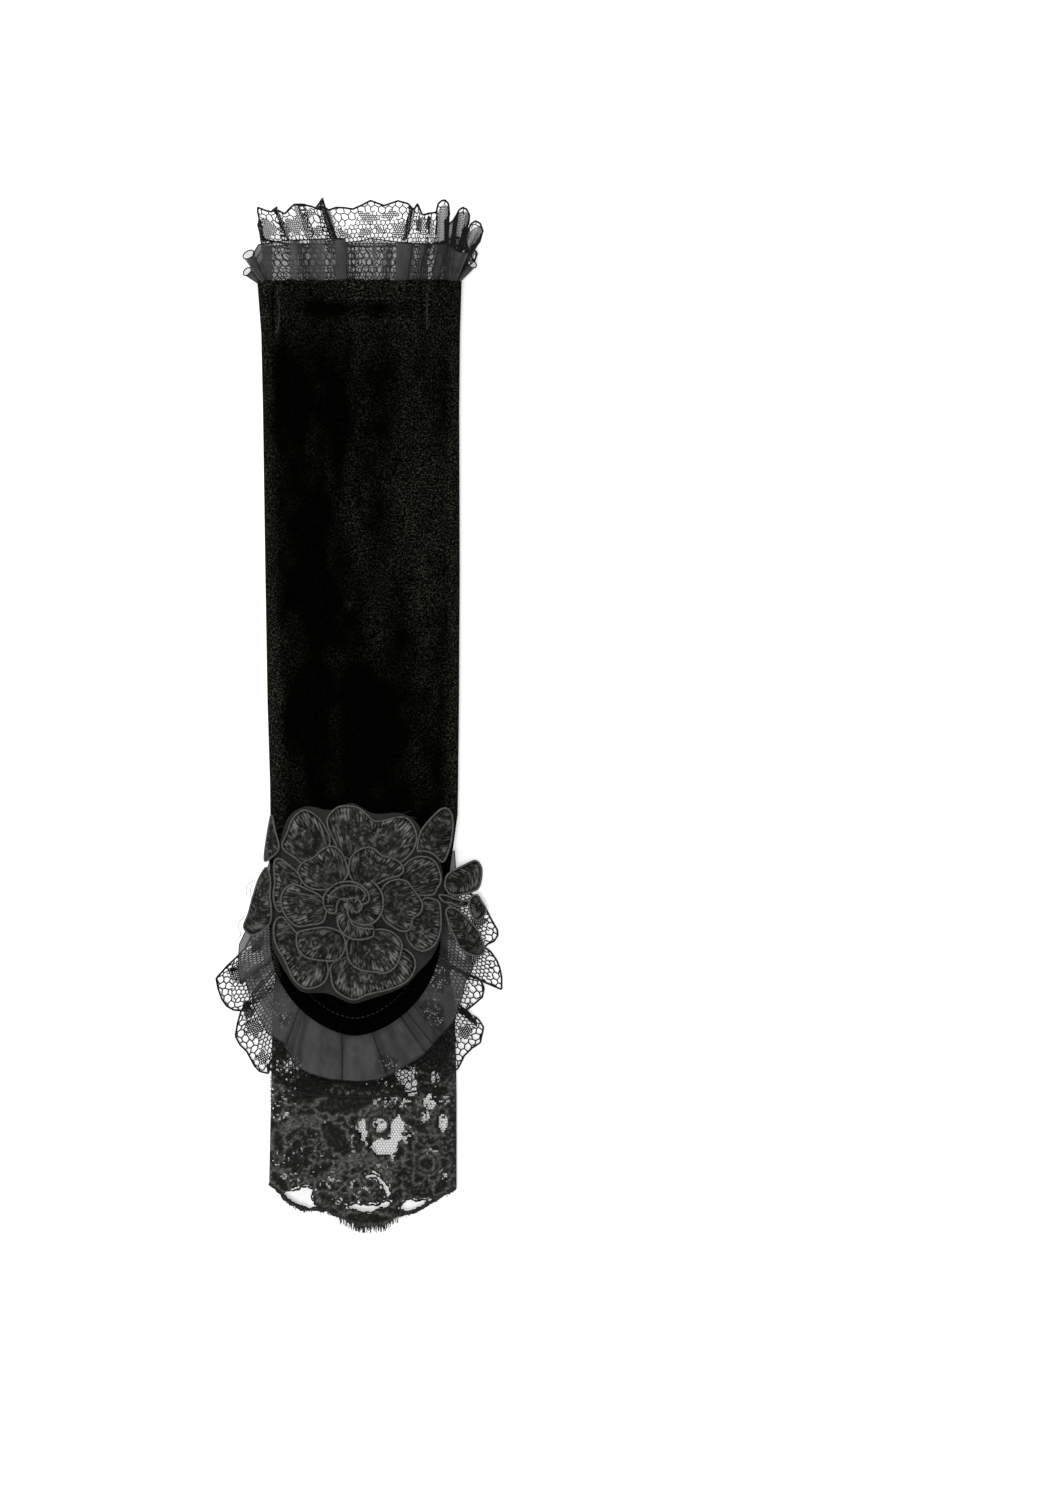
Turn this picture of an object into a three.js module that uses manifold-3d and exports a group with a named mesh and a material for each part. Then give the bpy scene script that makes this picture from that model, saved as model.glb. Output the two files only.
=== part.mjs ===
// A fingerless wrist warmer, lying flat on its palm side: a velvet sleeve with a rounded tongue over the
// back of the hand, ruffles of organza and lace at both ends, an embroidered rose and a lace hand tube.
// Millimetres. +Y runs towards the elbow, +Z up. The origin is on the floor, under the middle.
import * as THREE from 'three';
import Module from 'manifold-3d';

const wasm = await Module();
wasm.setup();

// Walls of the cloths, and the clearances between layers that lie on each other.
const VELVET_WALL = 1.3;
const SHEER_WALL = 1.0;
const LAYER_GAP = 0.5;

// Heights above the top of the lace hand tube: two ruffles lie on it, then the velvet tongue.
const LACE_RUFFLE_BASE = LAYER_GAP;
const ORGANZA_RUFFLE_BASE = LACE_RUFFLE_BASE + SHEER_WALL + LAYER_GAP;
const TONGUE_BASE = ORGANZA_RUFFLE_BASE + SHEER_WALL + LAYER_GAP;
const TONGUE_TOP = TONGUE_BASE + VELVET_WALL;

// Sleeve: the arm hem, the palm-side hem, and the tongue that goes on from there over the hand.
const ARM_HEM = 182.7;
const PALM_HEM = -42;
const TONGUE_BLEND = 12;
const TONGUE_SHOULDER = -93.7;
const TONGUE_REACH = 41;
const TONGUE_HALF = 36;
const TONGUE_MIDDLE = -1.5;
const TONGUE_POINT = 0.6;

// Rows of corners along the sleeve and its tongue. The tongue's round end is stepped by angle.
const SLEEVE_COLUMNS = 32;
const RING_ROWS = [ARM_HEM, 160, 128, 94, 60, 33, 6, -12, -30, PALM_HEM];
const TONGUE_ROWS = [-50, -62, -78, TONGUE_SHOULDER];
const TONGUE_END_ANGLES = [16, 32, 46, 58, 68, 76, 82];

// Outer sections of the velvet: x of the side lines, z of the side line and of the top.
const SLEEVE = [
  { y: 182.7, left: -42.7, right: 43.3, side: 7.0, top: 20.0 },
  { y: 160, left: -41.0, right: 42.6, side: 6.6, top: 18.6 },
  { y: 128, left: -40.3, right: 42.3, side: 6.3, top: 17.4 },
  { y: 60, left: -39.3, right: 42.5, side: 6.0, top: 16.4 },
  { y: 6, left: -38.4, right: 42.2, side: 5.8, top: 16.0 },
  { y: -30, left: -37.3, right: 41.8, side: 5.6, top: 16.0 },
  { y: -42, left: -37.2, right: 41.6, side: 5.6, top: 16.0 },
];

// Outer sections of the lace hand tube. It starts inside the velvet and sinks to the floor past its hem.
const HAND = [
  { y: -32, left: -34.5, right: 37.5, side: 4.4, top: 11.2, sole: 1.8 },
  { y: -43, left: -34.5, right: 37.5, side: 4.2, top: 11.2, sole: 1.8 },
  { y: -50, left: -34.5, right: 37.5, side: 4.0, top: 11.2, sole: 0 },
  { y: -100, left: -34.5, right: 37.5, side: 4.0, top: 11.2, sole: 0 },
  { y: -126, left: -36.4, right: 40.6, side: 4.0, top: 11.2, sole: 0 },
  { y: -160, left: -37.0, right: 41.2, side: 3.8, top: 10.6, sole: 0 },
  { y: -216, left: -38.2, right: 41.2, side: 3.4, top: 9.4, sole: 0 },
];

// The scalloped finger edge of the hand tube: how far down it reaches at each x.
const FINGER_EDGE = [
  { x: -38, y: -197.6 },
  { x: -30, y: -206.4 },
  { x: -22, y: -209.4 },
  { x: -12, y: -210.2 },
  { x: 2, y: -216.4 },
  { x: 10, y: -215.6 },
  { x: 18, y: -211.2 },
  { x: 30, y: -207 },
  { x: 41, y: -200.4 },
];
const FINGER_EDGE_START = -176;
const HAND_COLUMNS = 32;
const HAND_ROWS = [-32, -43, -50, -75, -100, -126, -160, FINGER_EDGE_START, -190, -203, -216];

// Open places in the lace over the back of the hand, each an oval turned by an angle.
const HAND_HOLES = [
  { x: -24.2, y: -202.4, wide: 13.4, high: 6.2, turn: 8 },
  { x: 0.6, y: -206.6, wide: 23, high: 3.6, turn: 0 },
  { x: 11.6, y: -198, wide: 3.6, high: 10, turn: 22 },
  { x: 4.4, y: -193.6, wide: 4.4, high: 2.6, turn: 10 },
  { x: 25.2, y: -204.9, wide: 12.6, high: 3.6, turn: 22 },
  { x: 12.2, y: -180, wide: 12, high: 6.4, turn: 38 },
  { x: 2.2, y: -176.4, wide: 3.2, high: 10.4, turn: 12 },
  { x: 21, y: -154.6, wide: 5.2, high: 9.6, turn: 35 },
  { x: 31, y: -160.6, wide: 2.6, high: 4.6, turn: 20 },
  { x: -33, y: -158, wide: 3.2, high: 2.6, turn: 0 },
  { x: -30.4, y: -168.6, wide: 3.6, high: 2.6, turn: 30 },
];
const HOLE_SIDES = 8;
const HOLE_FROM = 4.6;
const ABOVE_ALL = 30;
const BELOW_ALL = -5;

// Form of a lying tube: how full its top is, and how far its flat sole goes before it turns up.
const TOP_FULLNESS = 2.5;
const SOLE_FLAT = 0.75;

// How the cloths over the hand fall off beyond the sides of the hand tube.
const DRAPE_HALF = 1.05;
const DRAPE_STEEP = 8;

// The two ruffles round the arm opening share this flared form. The organza is the outer one.
const ARM_RUFFLE = [
  { y: 174, left: -40.0, right: 40.9, side: 7.2, top: 17.5, sole: 1.8 },
  { y: 183.5, left: -40.6, right: 41.2, side: 7.2, top: 18.0, sole: 1.8 },
  { y: 190, left: -46.4, right: 44.4, side: 7.6, top: 19.4, sole: 0.6 },
  { y: 199, left: -47.4, right: 46.4, side: 7.6, top: 20.4, sole: 0 },
  { y: 206, left: -45.6, right: 54.0, side: 7.4, top: 19.6, sole: 0 },
  { y: 218, left: -42.8, right: 50.6, side: 7.0, top: 18.6, sole: 0 },
];

// The uneven scallops of the lace rim at the arm: how far up it reaches at each x.
const ARM_LACE_RIM = [
  { x: -43, y: 213.4 },
  { x: -37, y: 210.7 },
  { x: -35, y: 213.1 },
  { x: -31.8, y: 210.7 },
  { x: -25, y: 214.9 },
  { x: -15, y: 214.6 },
  { x: -9, y: 213 },
  { x: -2.8, y: 212.3 },
  { x: 4.7, y: 215.8 },
  { x: 10.2, y: 213.6 },
  { x: 16.5, y: 215.8 },
  { x: 23.5, y: 213.3 },
  { x: 26.6, y: 210.8 },
  { x: 32, y: 211 },
  { x: 36, y: 216.4 },
  { x: 40.7, y: 209.5 },
  { x: 44.8, y: 212.3 },
  { x: 47.5, y: 207.6 },
  { x: 52, y: 204.4 },
];
const ARM_RUFFLE_LEVELS = [174, 183.5, 190];
const ARM_ORGANZA_EDGE = 198.4;
const ARM_LACE_INSET = SHEER_WALL + 1.6 * LAYER_GAP;
const ARM_FOLDS = 13;
const ARM_FOLD_DEPTH = 2.2;
const ARM_ORGANZA_COLUMNS = 52;
const ARM_LACE_COLUMNS = 66;
const ARM_LACE_GAPS = { count: 13, first: -36, last: 40, y: 207.6, size: 2.6 };

// Folds of the lower organza ruffle, from the left end of the tongue's edge (along 0) round to the right
// (along 1): how far the cloth reaches from the edge, how far its rim leans sideways, how high it stands.
const LOWER_ORGANZA = [
  { along: 0.0, reach: 1.0, lean: 0, rise: 0 },
  { along: 0.05, reach: 2.0, lean: 0, rise: 0 },
  { along: 0.1, reach: 4.4, lean: 1, rise: 0.4 },
  { along: 0.15, reach: 7.4, lean: 1, rise: 0.2 },
  { along: 0.2, reach: 10.6, lean: 0, rise: 0.9 },
  { along: 0.235, reach: 13.2, lean: 1, rise: 0.2 },
  { along: 0.265, reach: 13.0, lean: 2, rise: 1.2 },
  { along: 0.3, reach: 12.9, lean: 3.2, rise: 0.2 },
  { along: 0.335, reach: 14.6, lean: 2, rise: 1.4 },
  { along: 0.37, reach: 16.3, lean: 1.4, rise: 0.2 },
  { along: 0.395, reach: 15.6, lean: 2, rise: 1.4 },
  { along: 0.415, reach: 19.4, lean: 4.5, rise: 0.2 },
  { along: 0.45, reach: 19.0, lean: 2.5, rise: 1.3 },
  { along: 0.475, reach: 18.6, lean: 0, rise: 0.2 },
  { along: 0.505, reach: 18.8, lean: 0, rise: 1.5 },
  { along: 0.54, reach: 20.4, lean: -2.6, rise: 0.2 },
  { along: 0.57, reach: 19.4, lean: -2.8, rise: 1.4 },
  { along: 0.6, reach: 17.4, lean: -2.6, rise: 0.2 },
  { along: 0.64, reach: 15.6, lean: -1.4, rise: 1.4 },
  { along: 0.69, reach: 14.0, lean: 0, rise: 0.2 },
  { along: 0.72, reach: 13.8, lean: 0, rise: 1.2 },
  { along: 0.75, reach: 14.4, lean: 0, rise: 0.2 },
  { along: 0.8, reach: 14.8, lean: 0, rise: 1.0 },
  { along: 0.85, reach: 12.6, lean: 0, rise: 0.2 },
  { along: 0.9, reach: 9.6, lean: 0, rise: 0.6 },
  { along: 0.95, reach: 6.4, lean: 0, rise: 0.2 },
  { along: 1.0, reach: 3.6, lean: 0, rise: 0 },
];

// Lobes of the lower lace ruffle, which lies under the organza and reaches past it.
const LOWER_LACE = [
  { along: 0.14, reach: 3.0, lean: 0, rise: 0 },
  { along: 0.2, reach: 8.0, lean: 1, rise: 0 },
  { along: 0.235, reach: 15.5, lean: 2, rise: 0 },
  { along: 0.25, reach: 24.4, lean: 4, rise: 0.1 },
  { along: 0.275, reach: 25.0, lean: 6, rise: 0.2 },
  { along: 0.3, reach: 18.8, lean: 7, rise: 0 },
  { along: 0.315, reach: 20.4, lean: 6, rise: 0 },
  { along: 0.335, reach: 27.0, lean: 5.5, rise: 0.2 },
  { along: 0.37, reach: 30.0, lean: 6.5, rise: 0 },
  { along: 0.4, reach: 28.2, lean: 3.5, rise: 0.2 },
  { along: 0.45, reach: 25.2, lean: 1, rise: 0 },
  { along: 0.51, reach: 24.4, lean: 0, rise: 0.2 },
  { along: 0.56, reach: 26.0, lean: 2, rise: 0 },
  { along: 0.595, reach: 30.2, lean: 4.5, rise: 0.2 },
  { along: 0.625, reach: 29.0, lean: 6, rise: 0 },
  { along: 0.66, reach: 28.0, lean: 6, rise: 0.2 },
  { along: 0.685, reach: 21.4, lean: 1, rise: 0 },
  { along: 0.715, reach: 20.8, lean: 0, rise: 0 },
  { along: 0.735, reach: 25.0, lean: -1, rise: 0.2 },
  { along: 0.755, reach: 28.2, lean: -1.6, rise: 0.2 },
  { along: 0.778, reach: 24.6, lean: -3, rise: 0.1 },
  { along: 0.8, reach: 18.4, lean: -1, rise: 0 },
  { along: 0.825, reach: 21.0, lean: 0, rise: 0.1 },
  { along: 0.848, reach: 22.8, lean: -1, rise: 0.2 },
  { along: 0.876, reach: 17.2, lean: 0, rise: 0 },
  { along: 0.92, reach: 4.4, lean: 0, rise: 0 },
  { along: 0.94, reach: 2.4, lean: 0, rise: 0 },
];
const RUFFLE_TUCK = 3;
const GATHER_DOWN_LEFT = [-52, -64, -78];
const GATHER_UP_RIGHT = [-78, -66, -56];
const GATHER_STEP = 15;
const ORGANZA_SHARES = [0, 0.25, 0.6, 1];
const LACE_SHARES = [0, 0.3, 0.65, 1];
const LACE_GAP_SIDES = 6;
const LOWER_LACE_GAPS = { inFromRim: 4.2, size: 2.8 };
const LOWER_LACE_GAP_PLACES = [
  0.25, 0.265, 0.28, 0.335, 0.355, 0.38, 0.4, 0.43, 0.47, 0.51, 0.55, 0.59, 0.615, 0.64, 0.66, 0.7, 0.735,
  0.755, 0.775, 0.825, 0.845,
];

// The embroidered rose. Outlines are x and y from its heart, through which a smooth closed line is drawn.
const ROSE_AT = { x: -1.9, y: -79.4 };
const NET_THICK = 0.5;
const PAD_EDGE = 0.75;
const PAD_THICK = 1.05;
const ROSE_GAP = 0.5;
const NET_LEVEL = 0.9;
const OUTER_LEVEL = NET_LEVEL + NET_THICK + ROSE_GAP;
const MIDDLE_LEVEL = OUTER_LEVEL + PAD_THICK + ROSE_GAP;
const HEART_LEVEL = MIDDLE_LEVEL + PAD_THICK + ROSE_GAP;
const BUD_LEVEL = HEART_LEVEL + PAD_THICK + ROSE_GAP;
const PAD = { spokes: 14, rings: [0.6, 1], edge: PAD_EDGE, thick: PAD_THICK };
const NET_PAD = { spokes: 30, rings: [0.35, 0.7, 1], edge: NET_THICK, thick: NET_THICK };

const NET_OUTLINE = [
  [-34.6, 0], [-34.6, 14], [-31.5, 25], [-27.5, 36.5], [-20, 41], [-10, 39.5], [-1, 42.4], [8.5, 38],
  [19.5, 38.2], [27.4, 33], [28.5, 23], [35.5, 19], [37.8, 8], [38.8, -5], [34, -20], [27.5, -28],
  [20, -35], [6, -40], [-1, -41.6], [-11, -37.5], [-22, -36.6], [-28.5, -29], [-34, -18], [-34.6, -9],
];
const ROSE_PADS = [
  { name: 'outer_petal_1', level: OUTER_LEVEL, outline: [
    [-30, 24], [-28, 30], [-25.5, 36], [-21, 39.5], [-16, 37.3], [-12.5, 33], [-10, 26.5], [-13, 20],
    [-19, 15.6], [-24, 19]] },
  { name: 'outer_petal_2', level: OUTER_LEVEL, outline: [
    [-11.2, 35], [-7, 40.5], [0, 41], [4.5, 38.5], [8, 35.2], [11.5, 34.9], [19.7, 36.6], [24, 34.5],
    [26.4, 28], [24, 21.4], [18, 17], [8, 16], [-4, 20], [-8.4, 27]] },
  { name: 'outer_petal_3', level: OUTER_LEVEL, outline: [
    [21.4, 16.5], [25, 19.3], [29, 20], [33, 18.7], [35.5, 15], [36.5, 10], [34.8, 6.5], [33, 4],
    [27, 4], [21, 7], [19, 12]] },
  { name: 'outer_petal_4', level: OUTER_LEVEL, outline: [
    [29, 2], [33, 2.2], [36, 0], [36.5, -8.5], [35.6, -13.4], [33.5, -17.3], [29, -19.6], [24.5, -17.4],
    [22, -12], [25, -5]] },
  { name: 'outer_petal_5', level: OUTER_LEVEL, outline: [
    [-8.4, -24.5], [-9.4, -31], [-7.2, -36.5], [-0.3, -40], [6, -37.8], [16, -35.3], [22.5, -32],
    [25.7, -26.5], [24.4, -21.2], [18, -18], [5, -20]] },
  { name: 'outer_petal_6', level: OUTER_LEVEL, outline: [
    [-30, -5.5], [-33.4, -8.5], [-33, -16], [-29, -23.5], [-25.5, -31], [-21, -35], [-16, -34.8],
    [-12, -32], [-10.8, -26.5], [-14, -20], [-24, -12]] },
  { name: 'outer_petal_7', level: OUTER_LEVEL, outline: [
    [-31, 19], [-33.4, 17.5], [-33.2, 9], [-33.8, 4.5], [-33.2, 0], [-31, -3.2], [-27, 2], [-22, 9],
    [-24, 13.5], [-27, 16.2]] },
  { name: 'inner_petal_1', level: MIDDLE_LEVEL, outline: [
    [-23.4, 14], [-20.8, 17.9], [-17.2, 19.3], [-13.6, 22.7], [-9.6, 24.4], [-6, 22.7], [-3.4, 18],
    [-2.8, 12], [-8, 7], [-16, 6.2], [-21, 8.8]] },
  { name: 'inner_petal_2', level: MIDDLE_LEVEL, outline: [
    [-1.8, 12.5], [-1.6, 18.5], [1, 22], [5, 23.8], [8.5, 23.2], [12, 20.4], [18, 18.5], [20.8, 15.3],
    [19.5, 12.4], [13.5, 10.4], [8, 7.8], [2, 8]] },
  { name: 'inner_petal_3', level: MIDDLE_LEVEL, outline: [
    [12.5, 7.5], [17, 10.2], [21.8, 9.8], [24.8, 6.5], [28, 2], [28.8, -1], [27.5, -4], [24.8, -6],
    [23.8, -10], [21, -11.4], [17, -9.8], [12.5, -6], [11, 1]] },
  { name: 'inner_petal_4', level: MIDDLE_LEVEL, outline: [
    [-2.6, -15], [-2.7, -20.8], [-1, -25], [3, -27.5], [9, -28.4], [13.5, -28.8], [17.5, -26],
    [19.6, -21], [20, -16], [16.5, -12], [11, -10.5], [3, -12]] },
  { name: 'inner_petal_5', level: MIDDLE_LEVEL, outline: [
    [-23.5, -12.3], [-24, -16.5], [-22.3, -20.2], [-19, -22.6], [-10, -23.8], [-6, -22.4], [-3.9, -19],
    [-3.7, -15], [-6, -11.5], [-12, -9.7], [-20.5, -10.9]] },
  { name: 'inner_petal_6', level: MIDDLE_LEVEL, outline: [
    [-26, 8.3], [-29.3, 6], [-30.5, 2.5], [-30, -2], [-27.5, -6.3], [-23.8, -9.2], [-18.5, -8.6],
    [-13, -7.3], [-11.5, -1], [-14, 3.5], [-19, 6], [-22.5, 7.6]] },
  { name: 'rose_heart', level: HEART_LEVEL, outline: [
    [-12.9, 1.5], [-11.5, 5.2], [-8, 8.4], [-3.5, 9.6], [2, 9.2], [7.3, 9.8], [10.8, 6.8], [12.2, 2],
    [11.8, -3], [9.5, -7], [8.3, -11.5], [5.8, -14.2], [1, -14.9], [-3, -13.8], [-6.3, -10],
    [-8, -5.5], [-11, -3.2]] },
  { name: 'rose_bud', level: BUD_LEVEL, outline: [
    [-5.4, 1.4], [-2.6, 4.4], [1.6, 4.4], [4.6, 1.4], [4.2, -2.6], [0.6, -4.8], [-3.2, -3.4]] },
  { name: 'leaf_1', level: OUTER_LEVEL, outline: [
    [26.8, 22.4], [27.2, 27.3], [28.9, 31.8], [34.2, 37.9], [37.5, 40.2], [40.2, 39.2], [41.5, 34.5],
    [40.8, 26.5], [38.8, 20], [37, 17.8], [33.5, 20.9], [29.5, 22.4]] },
  { name: 'leaf_2', level: OUTER_LEVEL, outline: [
    [38.2, 8.7], [39.8, 12.8], [47, 16.7], [51, 18.2], [53.3, 15.8], [53.6, 12], [52.4, 7], [49.7, 5.2],
    [44.9, 3.9], [40.9, 4], [38.8, 6]] },
  { name: 'leaf_3', level: OUTER_LEVEL, outline: [
    [48.6, 1.2], [49.6, 3.2], [51.8, 3.7], [53.4, 1.3], [55.4, -2.3], [54.2, -5.4], [51.6, -7],
    [49.6, -5], [48.4, -2]] },
  { name: 'leaf_4', level: OUTER_LEVEL, outline: [
    [39.4, -1.8], [42, -1.6], [45, -3.6], [47.5, -6], [51.8, -10.9], [53.3, -14.2], [54.8, -19.5],
    [52.5, -21.8], [49, -21.2], [44.9, -18.6], [42.2, -13.4], [40, -8.5], [38.6, -3.6]] },
  { name: 'leaf_5', level: OUTER_LEVEL, outline: [
    [-34.6, 37.4], [-32.9, 30], [-31.6, 25.4], [-32, 22.2], [-35, 19.4], [-37.4, 18], [-37.6, 21],
    [-36.8, 27], [-35.8, 33]] },
  { name: 'leaf_6', level: OUTER_LEVEL, outline: [
    [-36.6, 15.2], [-35.1, 10.5], [-35.3, 3.5], [-34.8, -1], [-34.8, -6], [-36.2, -9.2], [-40.9, -12.6],
    [-44.1, -12.6], [-46.4, -9.5], [-44.5, -4.2], [-42.9, 1.8], [-40.5, 9.5], [-38.4, 13.6]] },
  { name: 'stem', level: OUTER_LEVEL, outline: [
    [35.8, 3.8], [38.4, 3.7], [41, 2.7], [45, 1.5], [47.9, 1.2], [47.6, -0.7], [44, -1], [41, 0.5],
    [38.2, 0.8], [36.6, 2]] },
];

// Colours of the cloths.
const VELVET = new THREE.MeshStandardMaterial({ color: 0x08080a, roughness: 0.95, metalness: 0 });
const ORGANZA = new THREE.MeshStandardMaterial({ color: 0x2b2b2e, roughness: 0.6, metalness: 0 });
const LACE = new THREE.MeshStandardMaterial({ color: 0x161617, roughness: 0.85, metalness: 0 });
const THREAD = new THREE.MeshStandardMaterial({ color: 0x3c3c3e, roughness: 0.5, metalness: 0 });
const NET = new THREE.MeshStandardMaterial({ color: 0x222223, roughness: 0.8, metalness: 0 });

const TURN = Math.PI * 2;

// Reads the columns of a table at one place, straight between its rows.
function readTable(table, key, place) {
  const rising = table[0][key] < table[table.length - 1][key];
  const rows = rising ? table : [...table].reverse();
  const clamped = THREE.MathUtils.clamp(place, rows[0][key], rows[rows.length - 1][key]);
  const next = Math.max(1, rows.findIndex((row) => row[key] >= clamped));
  const from = rows[next - 1];
  const to = rows[next];
  const share = (clamped - from[key]) / (to[key] - from[key]);
  const result = {};
  for (const column of Object.keys(from)) {
    result[column] = THREE.MathUtils.lerp(from[column], to[column], share);
  }
  return result;
}

// Reads a table of folds with soft bends between its rows.
function readFolds(table, along) {
  const rows = readTable(table, 'along', along);
  const index = Math.max(1, table.findIndex((row) => row.along >= along));
  const from = table[index - 1];
  const to = table[index];
  const share = THREE.MathUtils.smoothstep(along, from.along, to.along);
  rows.rise = THREE.MathUtils.lerp(from.rise, to.rise, share);
  return rows;
}

// How high a closed cloth section stands at a turn round it: full over the top, flat underneath.
const topBulge = (turn) => Math.sqrt(1 - Math.abs(Math.cos(turn)) ** TOP_FULLNESS);

function soleBulge(turn) {
  const corner = Math.max(0, (Math.abs(Math.cos(turn)) - SOLE_FLAT) / (1 - SOLE_FLAT));
  return Math.sqrt(Math.max(0, 1 - corner ** 2));
}

// A point of a lying cloth tube, set in from its outer face by a depth.
function tubePoint(section, turn, depth) {
  const middle = (section.left + section.right) / 2;
  const half = (section.right - section.left) / 2 - depth;
  const sole = (section.sole ?? 0) + depth;
  const up = Math.sin(turn) >= 0;
  const z = up
    ? section.side + (section.top - depth - section.side) * topBulge(turn)
    : section.side - (section.side - sole) * soleBulge(turn);
  return [middle + half * Math.cos(turn), z];
}

// The form that the cloths over the hand drape to: the hand tube, with its sides let down softly.
function drapeHeight(x, y) {
  const section = readTable(HAND, 'y', y);
  const half = (section.right - section.left) / 2;
  const off = Math.abs(x - (section.left + section.right) / 2) / half;
  return section.top / (1 + (off / DRAPE_HALF) ** DRAPE_STEEP);
}

// The upper face of the velvet at a place, for what is sewn on it.
function velvetHeight(x, y) {
  const section = readTable(SLEEVE, 'y', y);
  const half = (section.right - section.left) / 2;
  const off = Math.min(1, Math.abs(x - (section.left + section.right) / 2) / half);
  const sleeve = section.side + (section.top - section.side) * topBulge(Math.acos(off));
  const draped = drapeHeight(x, y) + TONGUE_TOP;
  return y > PALM_HEM - TONGUE_BLEND ? Math.max(sleeve, draped) : draped;
}

// Makes a geometry of corners and triangles, turned the right way out.
function closedGeometry(positions, indices) {
  let volume = 0;
  const [a, b, c] = [new THREE.Vector3(), new THREE.Vector3(), new THREE.Vector3()];
  for (let i = 0; i < indices.length; i += 3) {
    a.fromArray(positions, indices[i] * 3);
    b.fromArray(positions, indices[i + 1] * 3);
    c.fromArray(positions, indices[i + 2] * 3);
    volume += a.dot(b.cross(c));
  }
  const facing = volume > 0 ? indices : [...indices].reverse();
  const geometry = new THREE.BufferGeometry();
  geometry.setAttribute('position', new THREE.Float32BufferAttribute(positions, 3));
  geometry.setIndex(facing);
  return geometry;
}

// A cloth wall on a grid: face and back give the two sides at a column and row, has says which cells are
// cloth, and a ring closes on itself.
function clothWall({ columns, rows, ring, face, back, has = () => true }) {
  const across = ring ? columns : columns + 1;
  const positions = [];
  for (const side of [face, back]) {
    for (let row = 0; row <= rows; row += 1) {
      for (let column = 0; column < across; column += 1) {
        positions.push(...side(column, row));
      }
    }
  }
  const backStart = across * (rows + 1);
  const corner = (column, row) => row * across + (column % across);
  const filled = (column, row) => {
    if (row < 0 || row >= rows) return false;
    if (ring) return has((column + columns) % columns, row);
    return column >= 0 && column < columns && has(column, row);
  };
  const indices = [];
  const quad = (a, b, c, d) => indices.push(a, b, c, a, c, d);
  for (let row = 0; row < rows; row += 1) {
    for (let column = 0; column < columns; column += 1) {
      if (!filled(column, row)) continue;
      const a = corner(column, row);
      const b = corner(column + 1, row);
      const c = corner(column + 1, row + 1);
      const d = corner(column, row + 1);
      quad(a, b, c, d);
      quad(a + backStart, d + backStart, c + backStart, b + backStart);
      if (!filled(column, row - 1)) quad(b, a, a + backStart, b + backStart);
      if (!filled(column + 1, row)) quad(c, b, b + backStart, c + backStart);
      if (!filled(column, row + 1)) quad(d, c, c + backStart, d + backStart);
      if (!filled(column - 1, row)) quad(a, d, d + backStart, a + backStart);
    }
  }
  return closedGeometry(positions, indices);
}

const toSolid = (geometry) => new wasm.Manifold(new wasm.Mesh({
  numProp: 3,
  vertProperties: Float32Array.from(geometry.attributes.position.array),
  triVerts: Uint32Array.from(geometry.index.array),
}));

function toGeometry(solid) {
  const mesh = solid.getMesh();
  const geometry = new THREE.BufferGeometry();
  geometry.setAttribute('position', new THREE.Float32BufferAttribute(mesh.vertProperties, 3));
  geometry.setIndex([...mesh.triVerts]);
  return geometry;
}

// An upright oval post from a height to well above the cloths, to cut an open place with.
function ovalPost({ x, y, wide, high, turn }, bottom, sides) {
  const positions = [];
  const indices = [];
  for (let i = 0; i < sides; i += 1) {
    const angle = (TURN * i) / sides;
    const spot = new THREE.Vector2((wide / 2) * Math.cos(angle), (high / 2) * Math.sin(angle));
    spot.rotateAround(new THREE.Vector2(), THREE.MathUtils.degToRad(turn));
    positions.push(x + spot.x, y + spot.y, bottom, x + spot.x, y + spot.y, ABOVE_ALL);
    const next = (i + 1) % sides;
    indices.push(2 * i, 2 * next, 2 * next + 1, 2 * i, 2 * next + 1, 2 * i + 1);
    if (i > 0 && next > 0) {
      indices.push(0, 2 * next, 2 * i, 1, 2 * i + 1, 2 * next + 1);
    }
  }
  return toSolid(closedGeometry(positions, indices));
}

function cutPosts(geometry, posts) {
  let solid = toSolid(geometry);
  for (const post of posts) {
    solid = solid.subtract(post);
  }
  return toGeometry(solid);
}

// x of the tongue's edges at a y: straight sides down to its shoulder, then a rounded end.
function tongueEdges(y) {
  if (y < TONGUE_SHOULDER) {
    const down = Math.min(1, (TONGUE_SHOULDER - y) / TONGUE_REACH);
    const half = TONGUE_HALF * (1 - down ** 2) ** TONGUE_POINT;
    return { left: TONGUE_MIDDLE - half, right: TONGUE_MIDDLE + half };
  }
  const hem = readTable(SLEEVE, 'y', PALM_HEM);
  const share = (PALM_HEM - y) / (PALM_HEM - TONGUE_SHOULDER);
  return {
    left: THREE.MathUtils.lerp(hem.left, TONGUE_MIDDLE - TONGUE_HALF, share),
    right: THREE.MathUtils.lerp(hem.right, TONGUE_MIDDLE + TONGUE_HALF, share),
  };
}

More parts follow.
